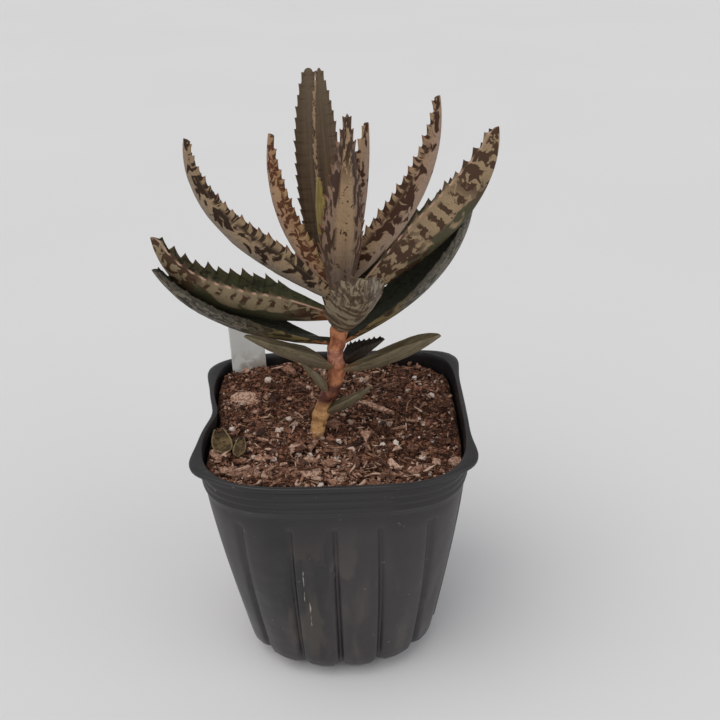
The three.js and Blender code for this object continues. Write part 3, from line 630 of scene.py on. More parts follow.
def half_width_share(leaf, s):
    foot, widest = leaf.foot_share, leaf.widest_at
    rising = foot + (1 - foot) * np.sin(np.pi / 2 * np.minimum(s / widest, 1))
    u = np.clip((s - widest) / (1 - widest), 0, 1)
    falling = 1 - (1 - leaf.tip_share) * u ** leaf.taper * (0.9 + 0.1 * u)
    return np.where(s < widest, rising, falling)


def between(ends, share):
    return ends[0] + (ends[1] - ends[0]) * share


def keel_frames(leaf):
    """Point, tangent, sideways and upper-face directions along the keel, at even steps."""
    s = np.arange(leaf.keel_steps + 1) / leaf.keel_steps
    rise = between(leaf.rise, s ** leaf.bend) * RAD
    azimuth = (leaf.azimuth + leaf.sweep * s) * RAD
    tangent = np.stack([np.cos(rise) * np.cos(azimuth), np.cos(rise) * np.sin(azimuth), np.sin(rise)], 1)
    flat_side = np.stack([-np.sin(azimuth), np.cos(azimuth), np.zeros_like(s)], 1)
    flat_up = np.cross(tangent, flat_side)
    twist = (between(leaf.twist, s) * RAD)[:, None]
    side = flat_side * np.cos(twist) + flat_up * np.sin(twist)
    up = flat_up * np.cos(twist) - flat_side * np.sin(twist)
    outward = np.array([math.cos(leaf.azimuth * RAD), math.sin(leaf.azimuth * RAD), 0])
    start = np.array([stem_axis(leaf.z), STEM.y, leaf.z]) + outward * leaf.root_out
    walked = np.vstack([np.zeros(3), np.cumsum(tangent[:-1], 0)]) * leaf.length / leaf.keel_steps
    return s, start + walked, tangent, side, up


def sampled(frames, s):
    point, *ways = [np.stack([np.interp(s, frames[0], rows[:, k]) for k in range(3)], 1)
                    for rows in frames[1:]]
    return [point] + [way / np.linalg.norm(way, axis=1)[:, None] for way in ways]


def blade_rows(leaf, thorn_spread):
    """For each row: place along the blade, tooth height, how far it leans forward and its beat."""
    end = [(between((leaf.tooth_to, 1), share), 0, 0, 0) for share in END_STEPS]
    if leaf.teeth == 0:
        plain = np.linspace(0, leaf.tooth_to, PLAIN_STEPS + 1)[:-1]
        return np.array([(s, 0, 0, 0) for s in plain] + end).T
    rows = [(s, 0, 0, 0) for s in np.linspace(0, leaf.tooth_from, FOOT_STEPS + 1)[:-1]]
    pitch = (leaf.tooth_to - leaf.tooth_from) / leaf.teeth
    depth = leaf.tooth_depth * leaf.width / leaf.tooth_width
    for i in range(leaf.teeth):
        varied = 1 - TOOTH_VARIES.by + TOOTH_VARIES.by * math.sin(i * TOOTH_VARIES.beat)
        size = depth * varied * (1 - leaf.tooth_shrink * i / leaf.teeth)
        for t in TOOTH_STEPS:
            shape = max(0, 1 - abs(t - leaf.tooth_at) / thorn_spread) ** 1.25
            rows.append((leaf.tooth_from + (i + t) * pitch, size * shape,
                         leaf.tooth_lean * pitch * leaf.length * shape,
                         math.cos(FULL_TURN * (t - leaf.tooth_at))))
    return np.array(rows + end).T


def blade_surface(leaf, index, rows, wave):
    """The rings of the blade, its keel line's ends, and per point: blade, flesh and tooth values."""
    s, out, forward, _ = rows
    point, tangent, side, up = sampled(keel_frames(leaf), s)
    slim = leaf.slim_share if leaf.width < leaf.slim_below else 1
    past_teeth = np.maximum(0, s - leaf.tooth_to) / (1 - leaf.tooth_to)
    closing = np.sqrt(np.clip(1 - past_teeth ** 2, 0, 1))
    half = leaf.width / 2 * half_width_share(leaf, s) * closing
    cos, sin = math.cos(leaf.fold * RAD), math.sin(leaf.fold * RAD)
    rib = leaf.rib_thick * (1 - SECTION.rib_loss * s) * slim / cos * closing
    edge = leaf.edge_thick * slim ** 0.5 * SECTION.edge_share * np.maximum(closing, SECTION.least_edge)
    across = np.array([-a for a in ACROSS[:0:-1]] + list(ACROSS))
    away, sign = np.abs(across), np.sign(across)
    lifted = (np.sqrt(away ** 2 + KEEL_SOFT ** 2) - KEEL_SOFT) / (math.sqrt(1 + KEEL_SOFT ** 2) - KEEL_SOFT)
    bulge = 4 * away * (1 - away)
    in_teeth = np.clip((away - TEETH_FROM) / (1 - TEETH_FROM), 0, 1) ** 1.3
    waves = wave * np.sin(s[:, None] * leaf.length / WAVE_LENGTH + across * 1.7 + index) * away ** 2

    def face(width_share, height_foot, height_edge, out_share):
        arch = bulge * half[:, None] * out_share
        pulled = out[:, None] * in_teeth
        lateral = across * width_share[:, None] + sign * (sin * arch + cos * pulled - sin * waves)
        vertical = (height_foot[:, None] * (1 - lifted) + height_edge[:, None] * lifted
                    - cos * arch + sin * pulled + cos * waves)
        ahead = forward[:, None] * in_teeth
        return (point[:, None] + side[:, None] * lateral[..., None] + up[:, None] * vertical[..., None]
                + tangent[:, None] * ahead[..., None])

    outer = face(cos * half, 0 * half, sin * half, leaf.belly)
    thin = edge * (1 - SECTION.thorn_thinner * (out > THORN_FROM))
    inner = face(cos * half - sin * thin, rib, sin * half + cos * thin, leaf.belly * SECTION.inner_belly)
    # The section goes round the keel side from right to left, then back over the upper face
    loop = np.concatenate([outer[:, ::-1], inner], 1)
    around = len(loop[0])
    upper = np.repeat((0, 1), len(across))
    blade = np.stack([np.repeat(s, around), np.tile(np.concatenate([across[::-1], across]), len(s)),
                      np.tile(upper, len(s))], 1)
    flesh = np.stack([blade[:, 0] * leaf.length, blade[:, 1] * np.repeat(half + 1, around),
                      np.full(len(blade), index * 7.3)], 1)
    tooth = (np.clip(out / 1.2, 0, 1)[:, None] * np.tile(in_teeth, 2)).ravel()
    tips = (point[0] - tangent[0] * 0.3 + up[0] * 1.2, point[-1] + up[-1] * 0.4)
    return loop, tips, dict(blade=blade, flesh=flesh, tooth=tooth)


def make_leaf(row, index, looks):
    leaf = Sizes(**{**BLADE, **dict(zip(LEAF_KEYS, row)), **row[-1]})
    slot, thorn, wave, material = looks[leaf.look]
    rows = blade_rows(leaf, thorn)
    loop, tips, values = blade_surface(leaf, index, rows, wave)
    values["beat"] = np.repeat(rows[3], len(loop[0]))
    # The two end points of the skin take the values of the last point
    values = {key: np.concatenate([numbers, numbers[-1:], numbers[-1:]]) for key, numbers in values.items()}
    points, faces = closed_rings(loop, *tips)
    uneven = sum(depth * rough_field(points, size, index + seed) for size, seed, depth in UNEVEN)
    uneven = uneven * (1 - smoothstep(values["blade"][:, 0], *UNEVEN_UP_TO))
    points = points + uneven[:, None] * UNEVEN_WAY
    return make_piece("blade_" + leaf.name, points, faces, material, slot, ["leaf_" + leaf.name], values)


class LeafShader(Shader):
    """A Principled material that knows where on a blade it is. Its coat is the keel side."""

    def __init__(self, name):
        super().__init__(name, 0.5, 0.2)
        self.along, self.across, self.upper = self.split(self.attribute("blade", "Vector"))
        self.flesh = self.attribute("flesh", "Vector")
        self.away = self.math("ABSOLUTE", self.across)
        self.teeth = self.attribute("tooth")
        self.beat = self.attribute("beat")
        self.mottle = self.noise(self.flesh, 1.1, 4)

    def grain(self, long_mm, wide_mm, twist=0, detail=2):
        return self.noise(self.flesh, 1, detail, twist, (1 / long_mm, 1 / wide_mm, 1))

    def blotches(self, long_mm, wide_mm, cover, soft=0.025, twist=0.9):
        """1 in the blotches. cover is where the noise is cut, lower for more of them."""
        return self.step(self.grain(long_mm, wide_mm, twist), cover - soft, cover + soft)

    def band(self, low, high, soft=0.08):
        """1 where the way out from the keel is between low and high."""
        inside = self.step(self.away, low - soft, low + soft)
        return self.times(inside, self.step(self.away, high + soft, high - soft))

    def upper_face(self, ground, shade):
        """One colour with darker clouds and a few spots."""
        face = self.mix(self.step(self.mottle, 0.4, 0.7, 0, 0.5), ground, shade)
        return self.mix(self.times(self.blotches(5, 3, 0.56), self.band(0.25, 1.1)), face, shade)

    def finish(self, inner, tooth_colour, tooth_share=0.7):
        self.paint(self.upper, inner)
        self.paint(self.step(self.teeth, 0.2, 0.8, 0, tooth_share), tooth_colour)
        self.set("Roughness", self.step(self.mottle, 0.25, 0.75, 0.4, 0.6))
        veins = self.bump(self.grain(2.4, 14, 0.3), 0.3)
        self.bump(self.noise(self.flesh, 3.2, 3), 0.06, veins)
        return super().finish()


DARK_SPOT = (39, 21, 10)
RUST = (122, 72, 48)
DEEP_GREEN = (68, 68, 42)


def mottled_material(name, ground, blush, keel, spot, cover, margin_cover, size=(6, 4)):
    """Blotched leaves: a paler keel, large blotches in the middle, streaks coming in from the teeth."""
    leaf = LeafShader(name)
    leaf.coat = leaf.mix(leaf.step(leaf.noise(leaf.flesh, 0.06), 0.35, 0.65), ground, blush)
    leaf.paint(leaf.step(leaf.away, 0.5, 0.2, 0, 0.85), keel)
    leaf.paint(leaf.step(leaf.mottle, 0.35, 0.75, 0, 0.22), spot)
    rare = leaf.step(leaf.away, 0.4, 0.12, 0, 0.16)
    large = leaf.math("SUBTRACT", leaf.grain(*size, 0.9), rare)
    large = leaf.step(large, cover - 0.035, cover + 0.04)
    streaks = leaf.math("ADD", leaf.grain(1.5, 5.5, 0.5, 1.5), leaf.times(leaf.beat, -0.1))
    streaks = leaf.step(streaks, margin_cover - 0.035, margin_cover + 0.04)
    near_edge = leaf.step(leaf.away, 0.58, 0.82)
    marks = leaf.math("MAXIMUM", leaf.times(large, leaf.step(leaf.away, 0.95, 0.7)),
                      leaf.times(streaks, near_edge))
    leaf.paint(leaf.times(near_edge, leaf.step(leaf.mottle, 0.45, 0.6, 0, 0.35)), (150, 128, 72))
    leaf.paint(leaf.times(marks, 0.96), spot)
    return leaf.finish(leaf.upper_face((96, 82, 58), (70, 52, 38)), RUST)


def striped_material():
    """The tall front leaf: a clean tan midrib between long dark blotches, lilac grey at the foot."""
    leaf = LeafShader("leaf_striped")
    leaf.coat = leaf.mix(leaf.step(leaf.away, 0.3, 0.5), (160, 132, 101), (140, 114, 95))
    leaf.paint(leaf.step(leaf.along, 0.5, 0.12), (124, 105, 93))
    leaf.paint(leaf.step(leaf.mottle, 0.35, 0.75, 0, 0.2), DARK_SPOT)
    long_marks = leaf.times(leaf.blotches(8, 3.8, 0.465, 0.035), leaf.band(0.36, 1.2, 0.1))
    few = leaf.times(leaf.blotches(3.2, 2.4, 0.63), leaf.band(-1, 0.45))
    near_tip = leaf.times(leaf.blotches(5, 2.2, 0.5), leaf.step(leaf.along, 0.66, 0.85))
    marks = leaf.math("MAXIMUM", long_marks, few, near_tip)
    marks = leaf.times(marks, leaf.step(leaf.along, 0.05, 0.45, 0.45, 0.95))
    leaf.paint(marks, leaf.mix(leaf.mottle, DARK_SPOT, (68, 42, 25)))
    return leaf.finish(leaf.upper_face((92, 80, 58), (68, 52, 38)), RUST)


def broad_material(name, pale, shade, foot_to, keel_to):
    """The widest leaves: dark green within, outside a tan band with a row of spots over a dark keel."""
    leaf = LeafShader(name)
    leaf.coat = leaf.mix(leaf.noise(leaf.flesh, 0.08), pale, shade)
    leaf.paint(leaf.step(leaf.mottle, 0.35, 0.75, 0, 0.2), (92, 70, 50))
    edge = leaf.math("ADD", leaf.away, leaf.step(leaf.grain(9, 5), 0.3, 0.7, -0.16, 0.16))
    middle = leaf.times(leaf.step(leaf.along, 0.08, 0.2), leaf.step(leaf.along, 0.84, 0.66))
    leaf.paint(leaf.times(leaf.step(edge, keel_to, keel_to - 0.1), middle, 0.9), (58, 58, 40))
    row = leaf.math("ADD", leaf.times(leaf.beat, 0.17), leaf.grain(2.6, 2.4, 0.6))
    spots = leaf.times(leaf.step(row, 0.52, 0.57), leaf.band(keel_to + 0.06, 0.9, 0.05))
    tip = leaf.times(leaf.blotches(5, 4.2, 0.48), leaf.step(leaf.along, 0.62, 0.78))
    foot = leaf.times(leaf.blotches(5, 3.4, 0.48), leaf.step(leaf.along, foot_to, foot_to - 0.16))
    marks = leaf.times(leaf.math("MAXIMUM", spots, tip, foot), 0.92)
    leaf.paint(marks, leaf.mix(leaf.mottle, DARK_SPOT, (74, 45, 28)))
    leaf.paint(leaf.step(leaf.along, 0.1, 0.02, 0, 0.7), (150, 92, 56))
    # Painted glint: a thin pale pinkish line along the margin between the teeth
    glint_between_teeth = leaf.times(leaf.band(0.965, 1.2, 0.015), leaf.step(leaf.teeth, 0.5, 0.1))
    leaf.paint(glint_between_teeth, (186, 150, 128))
    inner = leaf.mix(leaf.step(leaf.along, 0.5, 0.9), DEEP_GREEN, (88, 76, 54))
    return leaf.finish(leaf.upper_face(inner, (48, 46, 30)), (74, 58, 40), 0.8)


def cup_material():
    """The leaf that cups towards the front: grey green with bands that run across it."""
    leaf = LeafShader("leaf_cup")
    leaf.coat = leaf.mix(leaf.mottle, (146, 132, 109), (125, 112, 92))
    leaf.paint(leaf.times(leaf.blotches(4.4, 8, 0.5, 0.05, 1.2), 0.85), (72, 55, 40))
    streaks = leaf.times(leaf.blotches(6, 1.4, 0.5), leaf.step(leaf.along, 0.5, 0.75), 0.8)
    leaf.paint(streaks, (70, 50, 38))
    leaf.paint(leaf.step(leaf.along, 0.18, 0.03, 0, 0.7), (170, 110, 76))
    return leaf.finish(leaf.upper_face((84, 80, 60), (60, 50, 38)), (112, 80, 58))


def low_material():
    """The lowest long leaves: dark green within, painted nearly black for the shade of the leaves above them;
    fine grey mottling without.
    """
    leaf = LeafShader("leaf_low")
    leaf.coat = leaf.mix(leaf.mottle, (118, 110, 96), (98, 92, 78))
    leaf.paint(leaf.times(leaf.blotches(1.8, 1.2, 0.52, 0.04), 0.7), (50, 46, 37))
    leaf.paint(leaf.times(leaf.blotches(7, 3, 0.56), leaf.band(0.1, 0.9)), (48, 42, 32))
    leaf.paint(leaf.step(leaf.away, 0.8, 0.95, 0, 0.6), (40, 36, 28))
    petiole = leaf.mix(leaf.step(leaf.along, 0.16, 0.02), (126, 110, 72), (170, 106, 66))
    petiole = leaf.mix(leaf.blotches(6, 2.2, 0.52), petiole, (64, 52, 36))
    leaf.paint(leaf.step(leaf.along, 0.5, 0.24), petiole)
    # Painted shade: the upper face nearly black green, for the shade of the leaves above it
    return leaf.finish(leaf.upper_face((42, 43, 29), (28, 27, 19)), (70, 54, 40), 0.6)


def dark_material(name, pale_margin):
    """The two tall back leaves: brown upper faces, one of them with a pale spotted margin."""
    leaf = LeafShader(name)
    leaf.coat = leaf.mix(leaf.mottle, (150, 124, 98), (128, 104, 82))
    leaf.paint(leaf.times(leaf.blotches(6, 3, 0.5), 0.9), DARK_SPOT)
    inner = leaf.mix(leaf.step(leaf.grain(30, 1.2), 0.3, 0.7), (82, 62, 42), (64, 48, 32))
    inner = leaf.mix(leaf.step(leaf.along, 0.5, 1, 0, 0.5), inner, (98, 86, 68))
    if pale_margin:
        spotted = leaf.mix(leaf.blotches(2.6, 1.6, 0.54), (158, 131, 102), (72, 50, 36))
        inner = leaf.mix(leaf.step(leaf.across, 0.76, 0.82, 0, 0.8), inner, spotted)
    return leaf.finish(inner, (70, 52, 38), 0.6)


def plain_material(name, outer, outer_shade, inner, inner_shade, foot, tooth):
    """Leaves with faint clouds and long faint streaks in place of blotches."""
    leaf = LeafShader(name)
    lines = leaf.step(leaf.grain(16, 1.5, 0.3), 0.35, 0.65)
    leaf.coat = leaf.mix(lines, outer, outer_shade)
    leaf.paint(leaf.times(leaf.blotches(4, 2, 0.6, 0.05), 0.6), inner_shade)
    near_foot = leaf.step(leaf.along, 0.2, 0.03, 0, 0.7)
    leaf.paint(near_foot, foot)
    top = leaf.mix(lines, inner, inner_shade)
    top = leaf.mix(leaf.step(leaf.away, 0.86, 0.99, 0, 0.5), top, tooth)
    return leaf.finish(leaf.mix(near_foot, top, foot), tooth)


def leaf_looks():
    """Each kind of leaf: slot, width of its thorns over the tooth pitch, waves in mm, material."""
    low = low_material()
    tan = mottled_material("leaf_tan", (160, 136, 107), (146, 122, 98), (142, 128, 113), DARK_SPOT,
                           0.475, 0.5)
    pink = mottled_material("leaf_pink", (162, 136, 108), (150, 121, 99), (152, 130, 114), (54, 29, 16),
                            0.475, 0.495)
    rusty = mottled_material("leaf_rusty", (168, 134, 100), (158, 120, 90), (156, 130, 110), (82, 43, 24),
                             0.485, 0.505, (3.2, 2.2))
    broad = broad_material("leaf_broad", (160, 137, 105), (143, 120, 95), 0.5, 0.34)
    broad_left = broad_material("leaf_broad_left", (144, 127, 98), (125, 110, 86), 0.3, 0.62)
    young = plain_material("leaf_young", (136, 122, 66), (118, 102, 58), (140, 126, 66), (112, 88, 50),
                           (116, 104, 56), (128, 80, 52))
    olive = plain_material("leaf_olive", (122, 110, 88), (102, 93, 74), (108, 99, 78), (84, 74, 54),
                           (134, 104, 70), (92, 74, 56))
    withered = plain_material("leaf_withered", (50, 42, 35), (66, 55, 46), (44, 37, 31), (30, 25, 21),
                              (58, 44, 34), (58, 48, 40))
    return dict(tan=("leaf_tan", 0.44, 0.12, tan), pink=("leaf_pink", 0.44, 0.12, pink),
                rusty=("leaf_pink", 0.44, 0.12, rusty), striped=("leaf_tan", 0.44, 0.1, striped_material()),
                broad=("leaf_tan", 0.5, 0.2, broad), broad_left=("leaf_tan", 0.5, 0.2, broad_left),
                cup=("leaf_green", 0.4, 0.15, cup_material()), low=("leaf_green", 0.45, 0.2, low),
                shaded=("leaf_dark", 0.45, 0.2, low), olive=("leaf_olive", 0.4, 0.25, olive),
                back=("leaf_dark", 0.4, 0.08, dark_material("leaf_dark", False)),
                edged=("leaf_dark", 0.4, 0.08, dark_material("leaf_dark_edged", True)),
                young=("leaf_young", 0.36, 0.1, young), withered=("leaf_withered", 0.4, 0.9, withered))


# ---- potting mix

SOIL_COLUMNS = 288
SOIL_HEIGHTS = (SOIL.underside, SOIL.underside + 3, 24, 56, POT.flute_top, POT.flute_end,
                POT.collar_from - 1)
SOIL_SHARES = (1.0, *np.linspace(0.985, 0.02, 82))    # of the way out, over the surface
BOTTOM_SHARE = 0.9
RIM_DROP = 1.2
CLODS = ((0.75, 5.0, 3), (0.4, 1.9, 5))               # height and size in mm, seed


def soil_height(x, y):
    lumps = np.sin(x * 0.31 + 1.3) * np.cos(y * 0.27 - 0.4) + 0.6 * np.sin(x * 0.13 - y * 0.21 + 2)
    return SOIL.level + SOIL.rise_back * y - SOIL.rise_left * x + SOIL.lumps * lumps


def soil_radius(angle, z):
    return body_radius(angle, z) - flute_depth(z) - POT.wall - SOIL.clearance


def ground_height(x, y):
    """The soil's surface with its clods."""
    x, y = np.atleast_1d(x), np.atleast_1d(y)
    flat = np.stack([x, y, np.zeros_like(x)], 1)
    return soil_height(x, y) + sum(height * rough_field(flat, size, seed) for height, size, seed in CLODS)


def make_soil(material):
    angles = even_angles(SOIL_COLUMNS)
    rings = []
    for z in SOIL_HEIGHTS:
        share = BOTTOM_SHARE if z == SOIL.underside else 1
        rings.append(ring(soil_radius(angles, z) * share, angles, z))
    for share in SOIL_SHARES:
        level = ring(soil_radius(angles, SOIL.level) * share, angles, 0)
        level[:, 2] = ground_height(level[:, 0], level[:, 1]) - RIM_DROP * (share == 1)
        rings.append(level)
    top = (0, 0, float(ground_height(0.0, 0.0)[0]))
    points, faces = closed_rings(rings, (0, 0, SOIL.underside), top)
    return make_piece("potting_mix_bed", points, faces, material, "potting_mix", ["potting_mix"])


def soil_material():
    shader = Shader("peat", 0.95, 0.2)
    place = shader.place()
    fine = shader.noise(place, 1100, 4)
    cells = shader.node("TexVoronoi", dict(Vector=place, Scale=620))
    grains = shader.split(cells.outputs["Color"])
    shader.coat = shader.mix(shader.step(grains[0], 0, 1), (52, 32, 24), (130, 86, 66))
    shader.paint(shader.step(grains[1], 0.82, 0.9, 0, 0.7), (156, 124, 106))
    shader.paint(shader.step(fine, 0.35, 0.65, 0.6, 0), (34, 22, 18))
    shader.bump(fine, 0.6)
    return shader.finish()


def crumb_material(name, tones, roughness=0.9):
    """Each crumb takes its own tone between the colours."""
    shader = Shader(name, roughness, 0.25)
    fine = shader.noise(shader.place(), 1100, 4)
    mixed = shader.math("ADD", shader.attribute("tone"), shader.step(fine, 0.3, 0.7, -0.22, 0.22))
    steps = len(tones) - 1
    shader.coat = tones[0]
    for i, later in enumerate(tones[1:]):
        shader.paint(shader.step(mixed, i / steps, (i + 1) / steps), later)
    shader.bump(fine, 0.25)
    return shader.finish()


def lump_shape(rng):
    """A rough lump about 1 mm across: an icosahedron with its corners moved."""
    golden = (1 + 5 ** 0.5) / 2
    square = ((-1, golden, 0), (1, golden, 0), (-1, -golden, 0), (1, -golden, 0))
    corners = [np.roll(corner, axis) for axis in range(3) for corner in square]
    faces = [(0, 11, 5), (0, 5, 1), (0, 1, 7), (0, 7, 10), (0, 10, 11), (1, 5, 9), (5, 11, 4), (11, 10, 2),
             (10, 7, 6), (7, 1, 8), (3, 9, 4), (3, 4, 2), (3, 2, 6), (3, 6, 8), (3, 8, 9), (4, 9, 5),
             (2, 4, 11), (6, 2, 10), (8, 6, 7), (9, 8, 1)]
    points = np.array([[c * rng.uniform(0.72, 1.15) for c in corner] for corner in corners]) / (2 * golden)
    return points, faces


def flake_shape(rng):
    """A broken bark flake 1 mm long: a few-sided jagged plate, often drawn out, with a bent middle."""
    sides = rng.randrange(4, 8)
    breadth = rng.choice((0.16, 0.24, 0.34, 0.5, 0.7))
    turns = sorted(rng.uniform(0, FULL_TURN) for _ in range(sides))
    rim = [(0.5 * math.cos(t) * rng.uniform(0.8, 1.15), 0.5 * breadth * math.sin(t) * rng.uniform(0.8, 1.2))
           for t in turns]
    thick = rng.uniform(0.05, 0.12)
    bow = rng.uniform(-0.25, 0.25)
    low = [(x, y, bow * x * x - thick) for x, y in rim]
    high = [(x * 0.92, y * 0.9, bow * x * x + thick * rng.uniform(0.4, 1.2)) for x, y in rim]
    middle = np.mean(rim, 0)
    return closed_rings([low, high], (*middle, -thick), (*middle, thick * rng.uniform(0.6, 1.6)))


def splinter_shape(rng):
    """A straight sliver of bark 1 mm long, three-sided and pointed at both ends."""
    thick = rng.uniform(0.05, 0.11)
    sway = rng.uniform(-0.08, 0.08)
    rings = [[(share - 0.5, sway * share + swell * thick * math.cos(a), swell * thick * math.sin(a))
              for a in (0.3, 2.2, 4.3)]
             for share, swell in ((0.12, 0.5), (0.4, 1.0), (0.72, 0.8), (0.9, 0.4))]
    return closed_rings(rings, (-0.5, 0, 0), (0.5, sway, 0))


def fibre_shape(rng):
    """A bent thread 1 mm long, with four sides."""
    bow, sway = rng.uniform(-0.12, 0.12), rng.uniform(-0.2, 0.2)
    rings = []
    for share in np.linspace(0, 1, 5):
        thick = 0.035 * (1 - 0.6 * abs(2 * share - 1))
        arch = 4 * share * (1 - share)
        rings.append([(share - 0.5, sway * arch + thick * math.cos(a), bow * arch + thick * math.sin(a))
                      for a in even_angles(4)])
    first, last = np.mean(rings[0], 0), np.mean(rings[-1], 0)
    return closed_rings(rings, first - (0.02, 0, 0), last + (0.02, 0, 0))


def on_shed_leaf(x, y):
    return any(math.hypot(x - shed.x, y - shed.y) < 0.45 * shed.length for shed in SHED)


def front_band(x, y):
    """1 along the front of the mouth and at its left corner, where the coarse pale pieces lie."""
    return float(smoothstep(-y + 0.12 * abs(x) - 0.25 * x, 14, 34))


def make_crumbs(name, bodies, material):
    """One piece of many small bodies. bodies: points, faces and tone of each, or a tone per point."""
    points, faces, tones = [], [], []
    start = 0
    for body_points, body_faces, tone in bodies:
        points.append(body_points)
        faces += [tuple(start + k for k in face) for face in body_faces]
        tones.append(np.resize(tone, len(body_points)))
        start += len(body_points)
    make_piece(name, np.vstack(points), faces, material, "potting_mix",
               values=dict(tone=np.concatenate(tones)), smooth=False)


KINDS = 32                            # different shapes in each piece of litter
CROWDED_FROM = 0.9                    # the share of the way out where only short pieces lie
TONE = Sizes(middle=0.4, spread=0.28, gain_in_front=0.2)


def scatter(rng, shape, count, size, flatness, lift, tilt=0.5, reach_to=0.97, toned=True, clumps=None):
    """count copies of a few shapes over the soil, each with a tone of its own. Where clumps is given,
    the share of them that is kept is its first value, and its second one times front_band more."""
    kinds = [shape(rng) for _ in range(KINDS)]
    bodies = []
    while len(bodies) < count:
        turn = rng.uniform(0, FULL_TURN)
        reach = math.sqrt(rng.uniform(0, reach_to ** 2))
        radius = float(soil_radius(np.array(turn), SOIL.level)) * reach
        x, y = radius * math.cos(turn), radius * math.sin(turn)
        if on_shed_leaf(x, y) or (clumps and rng.random() > clumps[0] + clumps[1] * front_band(x, y)):
            continue
        length = between(size, rng.random() ** 2)
        points, faces = kinds[rng.randrange(KINDS)]
        if reach > CROWDED_FROM:
            length = min(length, size[0] * 1.3)
        points = points * np.array([length, length * rng.uniform(0.8, 1.2), length * flatness])
        points = turned(points, rng.uniform(0, FULL_TURN), rng.gauss(0, tilt * 0.5), rng.gauss(0, tilt))
        height = float(ground_height(x, y)[0]) + lift * length * flatness
        if toned:
            tone = rng.gauss(TONE.middle, TONE.spread) + TONE.gain_in_front * front_band(x, y)
            tone = min(1.0, max(0.0, tone))
        else:
            tone = rng.random()
        bodies.append((points + np.array([x, y, height]), faces, tone))
    return bodies


# name, material, shape, count, size in mm, flatness, and what else scatter takes
LITTER = (
    ("peat_crumbs", "peat", lump_shape, 5200, (0.8, 2.4), 0.8, dict(lift=0.2, toned=False)),
    ("bark_bits", "bark", flake_shape, 3000, (1.0, 3.4), 0.9, dict(lift=0.5, tilt=0.7)),
    ("bark_flakes", "bark", flake_shape, 620, (2.6, 8.0), 0.7,
     dict(lift=0.7, tilt=0.45, clumps=(0.22, 0.78))),
    ("bark_splinters", "bark", splinter_shape, 800, (1.8, 6.0), 0.9, dict(lift=0.5, tilt=0.3)),
    ("mix_fibres", "threads", fibre_shape, 420, (3.5, 11.0), 1.0,
     dict(lift=0.06, tilt=0.15, reach_to=0.88, clumps=(1.0, -0.6))),
    ("perlite_grains", "grit", lump_shape, 230, (1.0, 3.2), 0.85, dict(lift=0.3, toned=False)),
)


def make_litter():
    rng = random.Random(11)
    materials = dict(
        peat=crumb_material("peat_crumbs", [(44, 27, 20), (94, 59, 43), (156, 108, 84)]),
        bark=crumb_material("bark_flakes", [(50, 31, 24), (98, 65, 50), (150, 112, 92), (198, 166, 146)]),
        threads=crumb_material("fibres", [(54, 36, 29), (128, 94, 74), (178, 148, 124)]),
        grit=crumb_material("perlite", [(158, 130, 114), (200, 178, 164), (222, 208, 198)], 0.8))
    for name, kind, shape, count, size, flatness, more in LITTER:
        make_crumbs(name, scatter(rng, shape, count, size, flatness, **more), materials[kind])
    make_slabs(materials["bark"])


# x, y, length, width, turn, tilt, tone of the large pieces of bark that lie on top
SLABS = ((-39.3, 18.0, 14.5, 9, -8, 20, 0.85), (-37.3, -33.5, 19, 5.5, -14, 6, 0.8),
         (-26.2, -36.4, 6, 4, 70, 25, 0.95), (-18.9, -35.3, 13, 7.5, -8, 12, 0.5),
         (7.0, -32.3, 12, 9, 118, 28, 0.42), (48.0, -28.5, 6, 4.5, 35, 10, 0.85),
         (15.9, 11.7, 24, 2.6, -37, 3, 0.8), (3.0, -37.0, 8, 3.4, 60, 30, 0.85),
         (-9.0, -36.5, 9, 4.2, 8, 14, 0.9), (22.0, -37.0, 11, 4.4, 12, 16, 0.8),
         (-47.0, -24.0, 8, 4.0, -50, 10, 0.75), (33.0, -34.0, 9, 3.4, 28, 12, 0.7))
SLAB_COLUMNS, SLAB_ROWS = 22, 9
SLAB = Sizes(grain=0.32, splinters=0.16, arch=0.12, above=0.5, below=0.7, lift=0.9)


def slab_points(rng, length, width):
    """A thick splintered plate: long grain ridges on top, ragged ends."""
    ends = [rng.uniform(0.78, 1.0) for _ in range(SLAB_ROWS)]
    top, low = [], []
    for across, end in zip(np.linspace(-1, 1, SLAB_ROWS), ends):
        for along in np.linspace(-1, 1, SLAB_COLUMNS) * end:
            spread = 1 - 0.6 * abs(along) ** 3
            x, y = along * length / 2, across * spread * width / 2
            grain = SLAB.grain * noise.noise(Vector((x * 0.25, y * 2.2, length)))
            grain += SLAB.splinters * rng.uniform(-1, 1)
            arch = SLAB.arch * width * (1 - across * across)
            top.append((x, y, arch + SLAB.above + grain))
            low.append((x * 0.97, y * 0.94, arch - SLAB.below))
    return np.array(top + low)


def slab_faces():
    columns, rows = SLAB_COLUMNS, SLAB_ROWS
    half = columns * rows
    faces = []
    for j in range(rows - 1):
        for i in range(columns - 1):
            a, b = j * columns + i, (j + 1) * columns + i
            faces += [(a, a + 1, b + 1, b), (half + a, half + b, half + b + 1, half + a + 1)]
    rim = [*range(columns), *range(2 * columns - 1, half, columns)]
    rim += [*range(half - 2, half - columns - 1, -1), *range(half - 2 * columns, 0, -columns)]
    return faces + [(half + a, half + b, b, a) for a, b in zip(rim, rim[1:] + rim[:1])]


def make_slabs(material):
    rng = random.Random(23)
    bodies = []
    for x, y, length, width, turn, tilt, tone in SLABS:
        points = turned(slab_points(rng, length, width), turn * RAD, 0, tilt * RAD)
        points = points + np.array([x, y, float(ground_height(x, y)[0]) + SLAB.lift])
        bodies.append((points, slab_faces(), [min(1.0, tone + rng.uniform(-0.3, 0.2)) for _ in points]))
    make_crumbs("large_bark", bodies, material)


# ---- label and shed leaves

LABEL_CORNER_STEPS = 5
# Depth as a share of the thickness, and how far the outline is set in
LABEL_RINGS = ((-0.5, 0.25), (-0.38, 0.06), (-0.25, 0), (0.25, 0), (0.38, 0.06), (0.5, 0.25))
SHED_ROWS, SHED_COLUMNS = 40, 14


